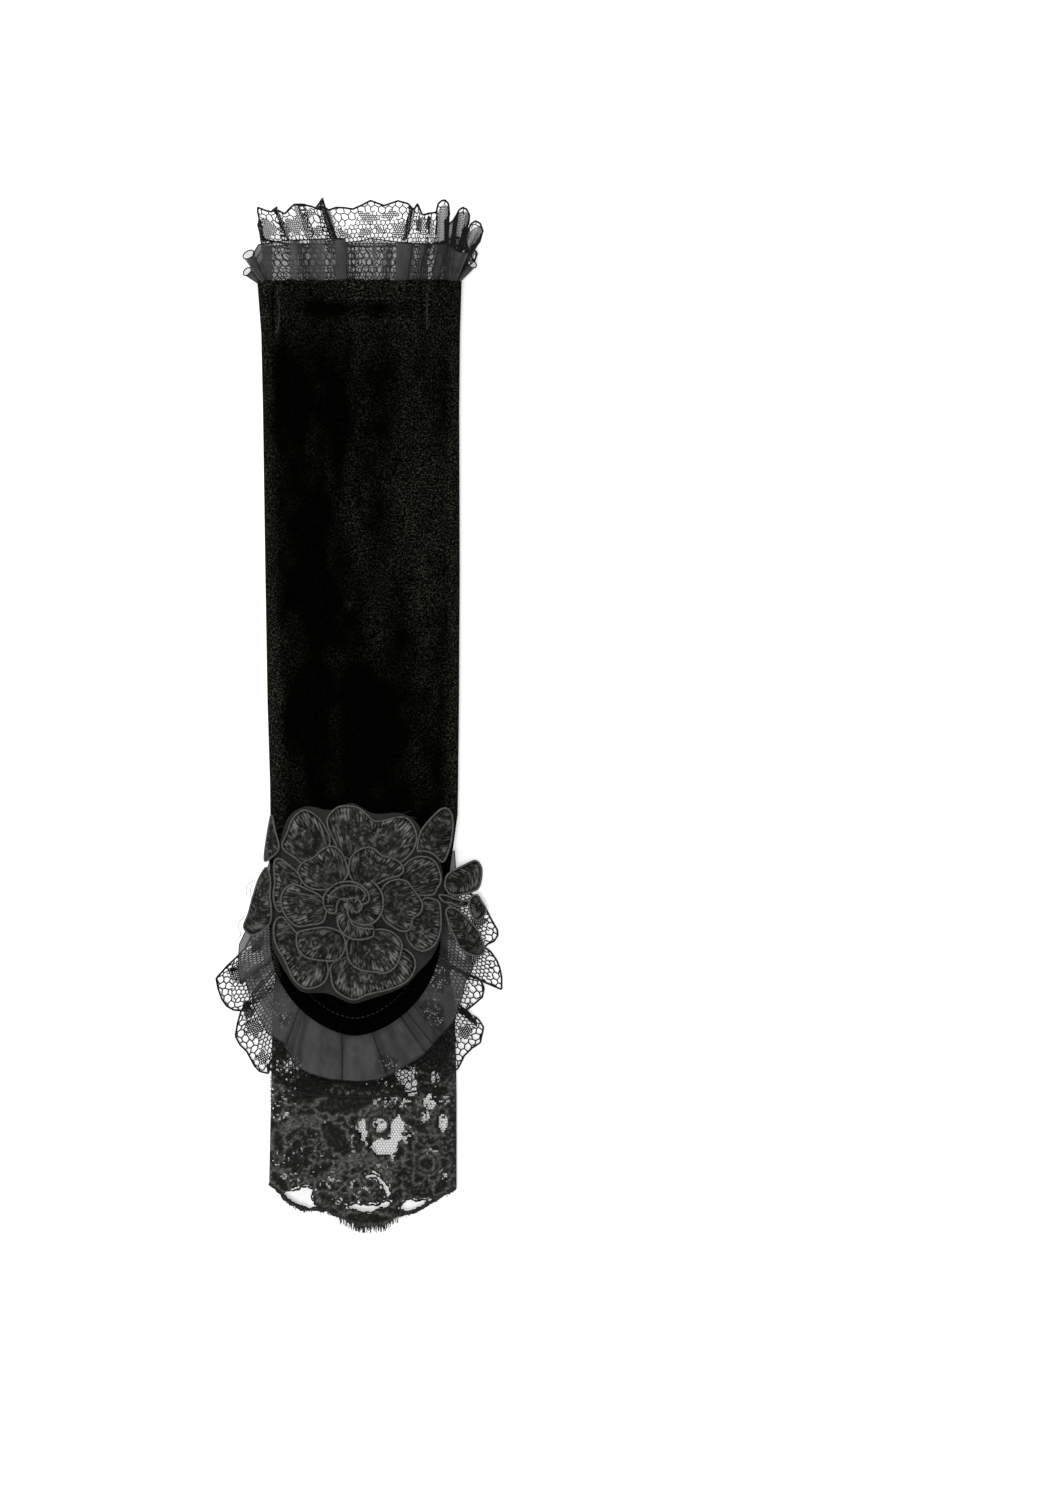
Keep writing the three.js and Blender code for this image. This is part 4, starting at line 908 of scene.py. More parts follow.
LOWER_LACE = table("along x y fold", [
    (0.14, -38.4, -78, 0), (0.19, -43.6, -90, 0), (0.215, -48, -98.4, 0), (0.225, -51.7, -102.2, 0),
    (0.24, -55.2, -105.4, 0), (0.255, -60, -110.8, 0), (0.27, -59.2, -115, 0), (0.28, -57.6, -119.5, 0),
    (0.29, -55.6, -122.4, 0), (0.3, -52.6, -124, 0), (0.318, -47.6, -124.5, 0), (0.3, -47.4, -121, 1),
    (0.312, -49.6, -124.8, 2), (0.325, -51, -129.8, 1), (0.335, -51.9, -135, 0), (0.345, -50, -138.6, 0),
    (0.355, -47.1, -141.4, 0), (0.37, -43.9, -147.4, 0), (0.385, -41.6, -149.8, 0), (0.4, -38, -150.6, 0),
    (0.385, -38.6, -146.6, 1), (0.405, -34, -153, 2), (0.43, -28.8, -157.5, 0), (0.455, -20, -159.6, 0),
    (0.48, -12, -160, 0), (0.46, -16, -158, 1), (0.49, -8, -160.2, 2), (0.515, 0, -160.4, 0), (0.545, 9, -160.2, 0),
    (0.57, 17.4, -159.2, 0), (0.55, 13, -158, 1), (0.58, 21, -158.6, 2), (0.605, 30, -156.7, 0),
    (0.63, 36.6, -152.6, 0), (0.64, 41.8, -148.3, 0), (0.65, 44.3, -143.2, 0), (0.66, 47.6, -140, 0),
    (0.667, 51, -137.8, 0), (0.675, 52.4, -131.4, 0), (0.688, 50.6, -128.4, 0), (0.7, 48.8, -126.8, 0),
    (0.688, 49.6, -131, 1), (0.7, 47, -126, 2), (0.712, 45.2, -124.1, 0), (0.722, 48.4, -121.6, 0),
    (0.73, 51.9, -118.6, 0), (0.745, 52.6, -115, 0), (0.752, 51.5, -112.2, 0), (0.762, 48.8, -109.9, 0),
    (0.745, 53, -112.4, 1), (0.76, 60, -115.4, 1), (0.77, 60, -110.6, 0), (0.78, 59.2, -106.4, 0),
    (0.792, 57.9, -103.1, 0), (0.805, 55.4, -99.6, 0), (0.818, 52.2, -97.3, 0), (0.808, 50.4, -100.4, 1),
    (0.825, 54, -96.4, 1), (0.835, 56.9, -95.1, 0), (0.845, 58.4, -92.6, 0), (0.852, 58.2, -90.4, 0),
    (0.862, 55.4, -85.6, 0), (0.875, 53, -80.6, 0), (0.9, 47, -75, 0), (0.93, 42.4, -70, 0)])


def gather_points(along):
    """x and y on the line that both lower ruffles are gathered on, from its left end (0) to its right (1)."""
    points = [(tongue_sides(y)[0] + RUFFLE_TUCK, y) for y in GATHER_LEFT]
    points += [tongue_edge(math.radians(degrees), RUFFLE_TUCK) for degrees in range(180, -1, -15)]
    points += [(tongue_sides(y)[1] - RUFFLE_TUCK, y) for y in GATHER_RIGHT]
    line = smooth_line(points, 0.5)
    return points_at(along, np.linspace(0, 1, len(line)), line)


class DrapedStrip(Strip):
    """A strip between the gathered edge and a rim, that follows the form under it."""

    def __init__(self, rows, level, puff):
        self.level, self.puff, self.fold = level, puff, rows["fold"] * PLEAT_GAP
        base_x, base_y = gather_points(rows["along"]).T
        super().__init__(joined(base_x, base_y, drape_height(base_x, base_y) + level - self.fold),
                         joined(rows["x"], rows["y"], drape_height(rows["x"], rows["y"]) + level - self.fold + puff))

    def at(self, place, out):
        point = super().at(place, out)
        away = np.interp(place, self.gone, self.fold)
        lift = self.puff * smoothstep(out, 0.25, 0.9)
        point[..., 2] = drape_height(point[..., 0], point[..., 1]) + self.level - away + lift
        return point


HAND_ORGANZA_LEVEL = ORGANZA_BASE + 0.95
HAND_LACE_LEVEL = LACE_BASE + 0.9
HAND_ORGANZA_PUFF = 0.9
HAND_LACE_PUFF = 0.1
HAND_TRIM_THICKER = 1.22
LOOSE_THREAD = 0.1
HAND_TRIM_MOTIFS = table("x y wide high turn petals", [
    (-50.5, -109, 7.5, 8, 40, 5), (-46.5, -124.5, 4.6, 8, 20, 3), (-44, -131.5, 7, 8, 60, 5),
    (-40.5, -144, 6, 6, 30, 4), (50.5, -87, 6, 5, 30, 4), (47.5, -102, 7, 5, 150, 5), (46, -124.5, 6.5, 5.5, 10, 4),
    (44.5, -133, 6, 6, 80, 5), (-42, -97, 7, 7, 0, 5), (-33, -121, 8, 7, 0, 5), (38, -118, 8, 8, 0, 5),
    (-40.5, -108.5, 8, 7, 0, 5)])


# Ovals where the hand's organza lies in one layer over net.
HAND_CLEAR = table("x y wide high turn", [
    (-44, -101, 9, 9, 0), (-43.6, -123, 8, 12, 30), (-37, -112, 6, 9, 0), (34.5, -109, 9, 17, -14),
    (31.5, -125, 8, 12, 30), (12, -146.6, 9, 9, -30), (43.6, -98, 5, 12, 0), (-30.6, -127.4, 6, 6, 0)])


def hand_clear(spots, _):
    """Where the hand's organza lies in one layer over net."""
    x, y, _ = np.moveaxis(spots, -1, 0)
    ragged = 0.35 * soft_noise(x, y, 2.5, 19)
    return np.any([in_oval(x, y, HAND_CLEAR, index) + ragged < 1 for index in range(len(HAND_CLEAR["x"]))], axis=0)


def lower_organza(settings):
    """The flat-pleated organza along the edge of the tongue."""
    strip = DrapedStrip(LOWER_ORGANZA, HAND_ORGANZA_LEVEL, HAND_ORGANZA_PUFF)
    piece, edge = organza_ruffle(settings, "hand_organza", "lower_organza_ruffle", strip, LOWER_ORGANZA["fold"], 16,
                                 settings.hem_cord / MM / 2.6, (settings.hand_cover, settings.net_cover), hand_clear)


def hand_zones(place, share):
    return scallop(place, share, 0.82, 0.14, 22.0).astype(int)


# Loose threads, each from point to point over the table or the rose.
LOOSE_THREADS = (
    [(-45, -71.5, 9), (-45.6, -75, 8.6), (-44.6, -78.6, 8)],
    [(-47.6, -84, 7), (-50.6, -88, 6), (-49.6, -92.6, 5.6), (-51.4, -94, 5.4)],
    [(-44, -69, 9.4), (-47, -72.2, 8.4), (-47.2, -76, 7.4)],
    [(14.6, -44, 19.6), (18, -41.6, 20), (22, -40.2, 19.2)],
    [(17, -44.6, 19.6), (20.4, -42.6, 20.2), (24.6, -43.6, 18.6)])


def lower_lace(settings):
    """The net lace under the organza, whose lobes stick out at both sides."""
    strip = DrapedStrip(LOWER_LACE, HAND_LACE_LEVEL, HAND_LACE_PUFF)
    cloth = Cloth()
    net_lace(cloth, strip, settings, HAND_TRIM_MOTIFS, 7.0, hand_zones, HAND_TRIM_THICKER)
    for thread in LOOSE_THREADS:
        cloth.cord(smooth_line(thread, 0.5), LOOSE_THREAD, 4, shade=0.9)
    piece = cloth.finish("hand_trim_lace", thread_material("lace_trim_thread", settings.lace_colour), "lace_trim",
                         "lower_lace_ruffle")


# --- Embroidered rose ---

NET_OUTLINE = [
    (-34.6, 0), (-34.6, 14), (-31.5, 25), (-27.5, 36.5), (-20, 41), (-10, 39.5), (-1, 42.4), (8.5, 38), (19.5, 38.2),
    (27.4, 33), (28.5, 23), (35.5, 19), (37.8, 8), (38.8, -5), (34, -20), (27.5, -28), (20, -35), (6, -40),
    (-1, -41.6), (-11, -37.5), (-22, -36.6), (-28.5, -29), (-34, -18), (-34.6, -9)]
# Names and level of each group of embroidered pads, and their outlines in millimetres from the rose's heart.
PADS = (
    ("outer_petal_{}", "outer", [
        [(-30, 24), (-28, 30), (-25.5, 36), (-21, 39.5), (-16, 37.3), (-12.5, 33), (-10, 26.5), (-13, 20), (-19, 15.6),
         (-24, 19)],
        [(-11.2, 35), (-7, 40.5), (0, 41), (4.5, 38.5), (8, 35.2), (11.5, 34.9), (19.7, 36.6), (24, 34.5), (26.4, 28),
         (24, 21.4), (18, 17), (8, 16), (-4, 20), (-8.4, 27)],
        [(21.4, 16.5), (25, 19.3), (29, 20), (33, 18.7), (35.5, 15), (36.5, 10), (34.8, 6.5), (33, 4), (27, 4),
         (21, 7), (19, 12)],
        [(29, 2), (33, 2.2), (36, 0), (36.5, -8.5), (35.6, -13.4), (33.5, -17.3), (29, -19.6), (24.5, -17.4),
         (22, -12), (25, -5)],
        [(-8.4, -24.5), (-9.4, -31), (-7.2, -36.5), (-0.3, -40), (6, -37.8), (16, -35.3), (22.5, -32), (25.7, -26.5),
         (24.4, -21.2), (18, -18), (5, -20)],
        [(-30, -5.5), (-33.4, -8.5), (-33, -16), (-29, -23.5), (-25.5, -31), (-21, -35), (-16, -34.8), (-12, -32),
         (-10.8, -26.5), (-14, -20), (-24, -12)],
        [(-31, 19), (-33.4, 17.5), (-33.2, 9), (-33.8, 4.5), (-33.2, 0), (-31, -3.2), (-27, 2), (-22, 9), (-24, 13.5),
         (-27, 16.2)]]),
    ("inner_petal_{}", "middle", [
        [(-23.4, 14), (-20.8, 17.9), (-17.2, 19.3), (-13.6, 22.7), (-9.6, 24.4), (-6, 22.7), (-3.4, 18), (-2.8, 12),
         (-8, 7), (-16, 6.2), (-21, 8.8)],
        [(-1.8, 12.5), (-1.6, 18.5), (1, 22), (5, 23.8), (8.5, 23.2), (12, 20.4), (18, 18.5), (20.8, 15.3),
         (19.5, 12.4), (13.5, 10.4), (8, 7.8), (2, 8)],
        [(12.5, 7.5), (17, 10.2), (21.8, 9.8), (24.8, 6.5), (28, 2), (28.8, -1), (27.5, -4), (24.8, -6), (23.8, -10),
         (21, -11.4), (17, -9.8), (12.5, -6), (11, 1)],
        [(-2.6, -15), (-2.7, -20.8), (-1, -25), (3, -27.5), (9, -28.4), (13.5, -28.8), (17.5, -26), (19.6, -21),
         (20, -16), (16.5, -12), (11, -10.5), (3, -12)],
        [(-23.5, -12.3), (-24, -16.5), (-22.3, -20.2), (-19, -22.6), (-10, -23.8), (-6, -22.4), (-3.9, -19),
         (-3.7, -15), (-6, -11.5), (-12, -9.7), (-20.5, -10.9)],
        [(-26, 8.3), (-29.3, 6), (-30.5, 2.5), (-30, -2), (-27.5, -6.3), (-23.8, -9.2), (-18.5, -8.6), (-13, -7.3),
         (-11.5, -1), (-14, 3.5), (-19, 6), (-22.5, 7.6)]]),
    ("rose_heart", "heart", [
        [(-12.9, 1.5), (-11.5, 5.2), (-8, 8.4), (-3.5, 9.6), (2, 9.2), (7.3, 9.8), (10.8, 6.8), (12.2, 2), (11.8, -3),
         (9.5, -7), (8.3, -11.5), (5.8, -14.2), (1, -14.9), (-3, -13.8), (-6.3, -10), (-8, -5.5), (-11, -3.2)]]),
    ("rose_bud", "bud", [
        [(-5.4, 1.4), (-2.6, 4.4), (1.6, 4.4), (4.6, 1.4), (4.2, -2.6), (0.6, -4.8), (-3.2, -3.4)]]),
    ("leaf_{}", "outer", [
        [(26.8, 22.4), (27.2, 27.3), (28.9, 31.8), (34.2, 37.9), (37.5, 40.2), (40.2, 39.2), (41.5, 34.5),
         (40.8, 26.5), (38.8, 20), (37, 17.8), (33.5, 20.9), (29.5, 22.4)],
        [(38.2, 8.7), (39.8, 12.8), (47, 16.7), (51, 18.2), (53.3, 15.8), (53.6, 12), (52.4, 7), (49.7, 5.2),
         (44.9, 3.9), (40.9, 4), (38.8, 6)],
        [(48.6, 1.2), (49.6, 3.2), (51.8, 3.7), (53.4, 1.3), (55.4, -2.3), (54.2, -5.4), (51.6, -7), (49.6, -5),
         (48.4, -2)],
        [(39.4, -1.8), (42, -1.6), (45, -3.6), (47.5, -6), (51.8, -10.9), (53.3, -14.2), (54.8, -19.5), (52.5, -21.8),
         (49, -21.2), (44.9, -18.6), (42.2, -13.4), (40, -8.5), (38.6, -3.6)],
        [(-34.6, 37.4), (-32.9, 30), (-31.6, 25.4), (-32, 22.2), (-35, 19.4), (-37.4, 18), (-37.6, 21), (-36.8, 27),
         (-35.8, 33)],
        [(-36.6, 15.2), (-35.1, 10.5), (-35.3, 3.5), (-34.8, -1), (-34.8, -6), (-36.2, -9.2), (-40.9, -12.6),
         (-44.1, -12.6), (-46.4, -9.5), (-44.5, -4.2), (-42.9, 1.8), (-40.5, 9.5), (-38.4, 13.6)]]),
    ("stem", "outer", [
        [(35.8, 3.8), (38.4, 3.7), (41, 2.7), (45, 1.5), (47.9, 1.2), (47.6, -0.7), (44, -1), (41, 0.5), (38.2, 0.8),
         (36.6, 2)]]))
# Cords that wind over the rose's heart, in millimetres.
HEART_CORDS = (
    [(-11.8, -83.2), (-13.9, -81.1), (-14.7, -77.5), (-13.5, -74.3), (-9.9, -71.1), (-5.8, -69.9), (-1, -70.3),
     (3.4, -73.5), (4.6, -77.2), (3.4, -78.8), (0.2, -80)],
    [(-12.7, -78.8), (-11.8, -75.5), (-8.7, -72.7), (-4.6, -71.5), (0.2, -72.3), (3, -75.1), (1.8, -78)],
    [(-12, -83.2), (-9.4, -82.7), (-9, -80), (-7.9, -77.5), (-6.2, -77.2), (-4.6, -77.5), (-4.6, -81.6), (-3.4, -85.6),
     (0.2, -87.6), (4.5, -87.9), (8, -85.7), (10.2, -81.2), (10.2, -75.9), (8.5, -72.4), (5.4, -69.3)],
    [(-4.2, -77.2), (-1.8, -76.7), (0.6, -78), (1.4, -80.8), (-0.6, -82.7), (-3, -81.6)],
    [(-9, -84.9), (-7.9, -89.4), (-4.6, -93), (0.2, -94.2), (5.8, -93), (6.6, -90.6)],
    [(-3.8, -85.7), (-1.8, -88.2), (2.2, -89.5), (6.5, -89.8)])
PAD_STEP = 0.36
SATIN_BAND = 4.9
SATIN_PITCH = 1.25
STRAND = 0.29
STRAND_OFF = 0.22
STRAND_PITCH = 2.2
CORD_STEP = 0.38
BUD_MIDDLE = (-2.3, -79.8)
NET_RINGS = 34
NET_COVER = 0.88
PAD_SUNK = 0.35
PAD_ROUND = 1.8
HEART_CORD_LIFT = 0.35
PAD_CORD_LIFT = 0.1


def twisted_cord(cloth, path, closed, seed):
    """A cord of two strands that wind round each other along a path."""
    gone = distances(path)
    turns = max(1, round(gone[-1] / STRAND_PITCH))
    last = gone[-1] + (np.linalg.norm(path[0] - path[-1]) if closed else 0)
    side = unit(np.cross(path_ways(path, closed), UP))
    for strand in (0.0, math.pi):
        turn = 2 * math.pi * turns * gone / last + strand
        wound = path + STRAND_OFF * (side * np.cos(turn)[:, None] + UP * np.sin(turn)[:, None])
        # painted light and shade: a strand is lighter where it winds over the top and darker where it winds under
        shade = 0.5 + 0.25 * np.sin(turn) + 0.3 * (scatter(path[:, 0], path[:, 1], seed=seed) - 0.5)
        cloth.cord(wound, STRAND, closed=closed, shade=shade)


def cord_rest(x, y):
    """Height of a cord's middle over the velvet, more where the velvet falls away steeply."""
    step_x = (velvet_height(x + 0.3, y) - velvet_height(x - 0.3, y)) / 0.6
    step_y = (velvet_height(x, y + 0.3) - velvet_height(x, y - 0.3)) / 0.6
    return velvet_height(x, y) + 0.5 * (np.sqrt(1 + step_x ** 2 + step_y ** 2) - 1)


def satin_threads(x, y, centre, outline, leaf, seed):
    """How light the satin threads lie: across a leaf's length, and along lines from the rose's heart."""
    if leaf:
        _, _, ways = np.linalg.svd(outline - outline.mean(axis=0))
        along = (x - centre[0]) * ways[0, 0] + (y - centre[1]) * ways[0, 1]
        across = (x - centre[0]) * ways[1, 0] + (y - centre[1]) * ways[1, 1]
        run, length = along + 0.6 * np.abs(across), across
    else:
        fan = centre + (np.array(ROSE_AT) - centre) * 0.85
        run = np.arctan2(y - fan[1], x - fan[0]) * max(6.0, 0.85 * np.hypot(*(outline - fan).T).max())
        length = np.hypot(x - fan[0], y - fan[1])
    fine = soft_noise(run, length * 0.5, 0.75, seed)
    group = soft_noise(run, length * 0.6, 2.2, seed + 1)
    drift = 0.5 * soft_noise(run, length * 0.35, 1.8, seed + 2)
    hatch = np.sin(2 * math.pi * (run + drift) / SATIN_PITCH)
    return np.clip(0.47 + 0.3 * hatch + 0.6 * fine + 0.25 * group, 0, 1), run


def satin_pad(cloth, outline, level, seed, leaf):
    """A padded field of satin stitches inside its edge, rough and darker in the middle, with painted shade in the
    groove at its edge and in a line inside the satin band, and on petals towards the rose's heart. Gives its rim.
    """
    corners = np.array(outline, float) + ROSE_AT
    rim = smooth_line(corners, PAD_STEP, closed=True)
    centre = rim.mean(axis=0)
    reach = np.linalg.norm(rim - centre, axis=1)
    count, rings = len(rim), max(7, int(reach.mean() / PAD_STEP))
    shares = np.linspace(1.0, 0.6 / rings, rings)[:, None]
    x, y = np.moveaxis(centre + (rim - centre)[None] * shares[:, :, None], -1, 0)
    inset = (1 - shares) * np.minimum(reach, 10.0)
    threads, run = satin_threads(x, y, centre, corners, leaf, seed)
    band = SATIN_BAND * (0.85 + 0.3 * soft_noise(run, 0 * run, 2.2, seed + 4))
    satin = smoothstep(band - inset, -0.7, 0.7)
    dome = PAD_EDGE - 0.2 + (PAD_THICK + 0.35 - PAD_EDGE) * smoothstep(inset, 0.0, PAD_ROUND)
    dome = dome - 0.5 * smoothstep(inset, band - 1.5, band + 1.5)
    speck = scatter(np.round(x, 1), np.round(y, 1), seed=seed)
    rough = soft_noise(x, y, 0.8, seed + 6) * 0.2 + soft_noise(x, y, 2.2, seed + 7) * 0.12
    z = velvet_height(x, y) + LEVELS[level] + dome + satin * 0.45 * (threads - 0.5) + (1 - satin) * rough
    knots = np.clip(soft_noise(x, y, 0.9, seed + 8) + 0.3 * speck - 0.1, 0, 1)
    shade = satin * (0.02 + 0.98 * threads ** 2) + (1 - satin) * (0.02 + 0.4 * speck ** 4 + 0.7 * knots)
    # painted shade in the groove just inside the edge cord; the rest of this line is random tone
    shade = shade * (0.15 + 0.85 * smoothstep(inset, 0.3, 1.4)) * (0.8 + 0.35 * soft_noise(x, y, 4.5, seed + 3))
    # painted shadow line at the inner edge of the satin band; leaves are darker thread
    shade = shade * (1 - 0.65 * np.exp(-((inset - band - 0.3) / 0.9) ** 2)) * (0.8 if leaf else 1.06)
    # painted shade: petals grow darker towards the rose's heart, where the inner petals shade them
    from_heart = np.hypot(x - ROSE_AT[0], y - ROSE_AT[1])
    shade = shade * (1.0 if leaf else 0.62 + 0.68 * smoothstep(from_heart, from_heart.min(), from_heart.max()))
    low = np.column_stack([rim, velvet_height(rim[:, 0], rim[:, 1]) + LEVELS[level] - PAD_SUNK])[None]
    cloth.grid(np.vstack([low, joined(x, y, z)]), np.vstack([np.full((1, count), 0.1), shade]), ring=True)
    inner = np.arange(count) - count
    outer = inner - rings * count
    tops, lows = np.zeros_like(inner), np.ones_like(inner)
    faces = np.vstack([np.stack([tops, inner, np.roll(inner, -1), tops], axis=1),
                       np.stack([lows, np.roll(outer, -1), outer, lows], axis=1)])
    floor = float(velvet_height(*centre)) + LEVELS[level]
    cloth.add([(*centre, floor + dome[-1].mean()), (*centre, floor - PAD_SUNK)], faces, 0.1)
    return rim


def rose(settings):
    """The net ground, the satin pads and the cords of the embroidered rose."""
    net = Cloth()
    rim = smooth_line(np.array(NET_OUTLINE, float) + ROSE_AT, 0.9, closed=True)
    centre = rim.mean(axis=0)
    x, y = np.moveaxis(centre + (rim - centre)[None] * np.linspace(1, 0.02, NET_RINGS)[:, None, None], -1, 0)
    z = velvet_height(x, y) + LEVELS["net"] + 0.2 + 0.12 * soft_noise(x, y, 5, 9)
    net.grid(joined(x, y, z), ring=True)
    ground = net.finish("rose_ground_net", sheer_material("rose_net_cloth", settings.net_colour, NET_COVER), "rose_net",
                        "rose_net")
    material = thread_material("satin_thread", settings.thread_colour, 0.6, 5.6, 0.05)
    pads = [(name.format(number), level, outline) for name, level, outlines in PADS
            for number, outline in enumerate(outlines, 1)]
    for order, (name, level, outline) in enumerate(pads):
        cloth = Cloth()
        rim = satin_pad(cloth, outline, level, float(order + 1), name.startswith(("leaf", "stem")))
        if level not in ("heart", "bud"):
            x, y = along_line(rim, CORD_STEP, closed=True).T
            height = LEVELS[level] + PAD_EDGE + PAD_CORD_LIFT + cord_rest(x, y)
            twisted_cord(cloth, joined(x, y, height), True, order)
        if level == "heart":
            for wind in HEART_CORDS:
                x, y = smooth_line(wind, CORD_STEP).T
                off = np.hypot(x - BUD_MIDDLE[0], y - BUD_MIDDLE[1])
                raised = (LEVELS["bud"] - LEVELS["heart"]) * (1 - smoothstep(off, 4.0, 8.5))
                height = velvet_height(x, y) + (LEVELS["heart"] + PAD_THICK) + HEART_CORD_LIFT + raised
                twisted_cord(cloth, joined(x, y, height), False, order)
        cloth.finish("satin_" + name, material, "rose_thread", name)


# --- Lace round the hand ---

# Outlines of the open holes at the finger edge and of the windows that only the fine net fills.
HOLES = (
    [(-32.1, -201.2), (-27, -199.4), (-22.1, -198.2), (-18.7, -199.7), (-20, -202.9), (-16.8, -207.3), (-23.7, -206.9),
     (-28.4, -204.5)],
    [(-11.5, -202.6), (-7.9, -203.5), (-4.2, -205.5), (-0.5, -205.2), (3.6, -205.5), (7.6, -205.8), (11.3, -204),
     (13.1, -204.4), (12.7, -206.2), (8.6, -207.9), (3.1, -209), (-1.5, -208.1), (-5.1, -206.6), (-9.7, -204.4)],
    [(2.2, -193.5), (4.9, -192.4), (7.6, -193), (10.4, -195.3), (12.7, -197.6), (13.6, -200.8), (13.1, -203.1),
     (11.3, -202.1), (10.4, -199.4), (8.6, -196.7), (6.3, -194.4), (3.6, -195.1)],
    [(17.3, -208.1), (19.1, -204.4), (21.3, -203.2), (24.6, -204), (26.8, -203.5), (31.4, -203.2), (32.8, -203.5),
     (29.6, -205.5), (25, -208.1), (20.5, -209)])
WINDOWS = (
    [(5.3, -179.6), (8.5, -178), (12.6, -178.8), (13.4, -172.4), (16.6, -168.3), (19, -170.8), (17.3, -178),
     (14.2, -185.2), (8.5, -185.6), (5.3, -182.7)],
    [(-0.2, -170.9), (1.9, -169.7), (3.2, -174.3), (3.6, -181), (1.9, -180.6), (0.6, -175.1)],
    [(16.6, -149.1), (21.6, -149.5), (23.7, -153.3), (25.4, -159.6), (20.8, -160.4), (18.7, -155.4), (16.2, -153.3)])
# Ovals where the worked lace thins out to net, and the share of each that is net.
THIN = table("x y wide high turn share", [
    (14, -163, 17, 5, 0, 0.5), (-32, -158, 12, 22, 0, 0.2), (-30, -147, 12, 8, 0, 0.42), (-20, -186, 34, 18, 0, 0.1),
    (32, -153, 4, 7, 0, 0.6), (30, -162.5, 6, 7, 0, 0.5), (28, -169, 4, 6, 0, 0.55), (35.5, -171.5, 4, 8, 0, 0.55),
    (31, -184, 5, 5, 0, 0.4), (8.6, -172.5, 6.4, 6.4, 0, 0.62), (20, -150, 10, 5, 0, 0.35), (9, -155, 12, 5, 0, 0.25),
    (-33, -168, 7, 5, 0, 0.5), (-2, -178, 5, 12, 0, 0.3), (35.5, -194, 5, 6, 0, 0.3), (-28, -194, 10, 5, 0, 0.25),
    (20, -176, 7, 8, 0, 0.35), (-15, -172, 10, 3, 0, 0.15), (0, -199, 12, 8, 0, 0.2), (33, -112, 9, 22, -14, 0.42),
    (31, -127, 9, 10, 0, 0.42), (12, -146.6, 8, 7, 0, 0.5), (-32, -126, 8, 16, 20, 0.42), (-31, -110, 7, 12, 0, 0.3),
    (14.5, -184, 3, 10, 0, 0.3), (-12, -197, 10, 6, 0, 0.25), (10, -190, 8, 4, 0, 0.15), (36, -162, 5, 8, 0, 0.3)])
HAND_GRID = 0.42
PALM_THINNER = 0.15
HAND_TOP = -34
HAND_SHOWS = -96
HAND_END = -217.5
HIDDEN_GRID = 0.9
PALM_GRID = 0.95
TOP_COLUMNS = 182
PALM_COLUMNS = 80
HAND_DEPTH = 0.05


def outline_off(x, y, outline):
    """How far outside an outline places lie, below zero inside it."""
    corners = np.array(outline, float)
    inside = np.zeros(np.shape(x), bool)
    nearest = np.full(np.shape(x), 1e9)
    for (ax, ay), (bx, by) in zip(corners, np.roll(corners, -1, axis=0)):
        share = ((x - ax) * (bx - ax) + (y - ay) * (by - ay)) / ((bx - ax) ** 2 + (by - ay) ** 2)
        share = np.clip(share, 0, 1)
        nearest = np.minimum(nearest, np.hypot(x - ax - share * (bx - ax), y - ay - share * (by - ay)))
        if ay != by:
            inside ^= ((ay > y) != (by > y)) & (x < (bx - ax) * (y - ay) / (by - ay) + ax)
    return np.where(inside, -nearest, nearest)


def hand_cover(x, y, seed, thinner=0.0):
    """2 where lace is worked, 1 where only the fine net shows, 0 where it is open."""
    ragged = 0.75 * soft_noise(x, y, 1.2, seed) + 0.35 * soft_noise(x, y, 0.55, seed + 1)
    cover = np.full(np.shape(x), 2)
    lump = (soft_noise(x, y, 0.95, seed + 4) + 1) / 2
    for index in range(len(THIN["x"])):
        cover[(in_oval(x, y, THIN, index) < 1) & (lump < THIN["share"][index] + thinner)] = 1
    cover[lump < 0.035] = 1
    for outline in WINDOWS:
        cover[outline_off(x, y, outline) + ragged < 0.2] = 1
    for outline in HOLES:
        cover[outline_off(x, y, outline) + ragged < 0.45] = 0
    return cover


def hand_surface(x, y, depth, top=True):
    """Height of the lace hand's upper or lower face."""
    return tube_height(HAND, x, y, depth, top, inset=depth)


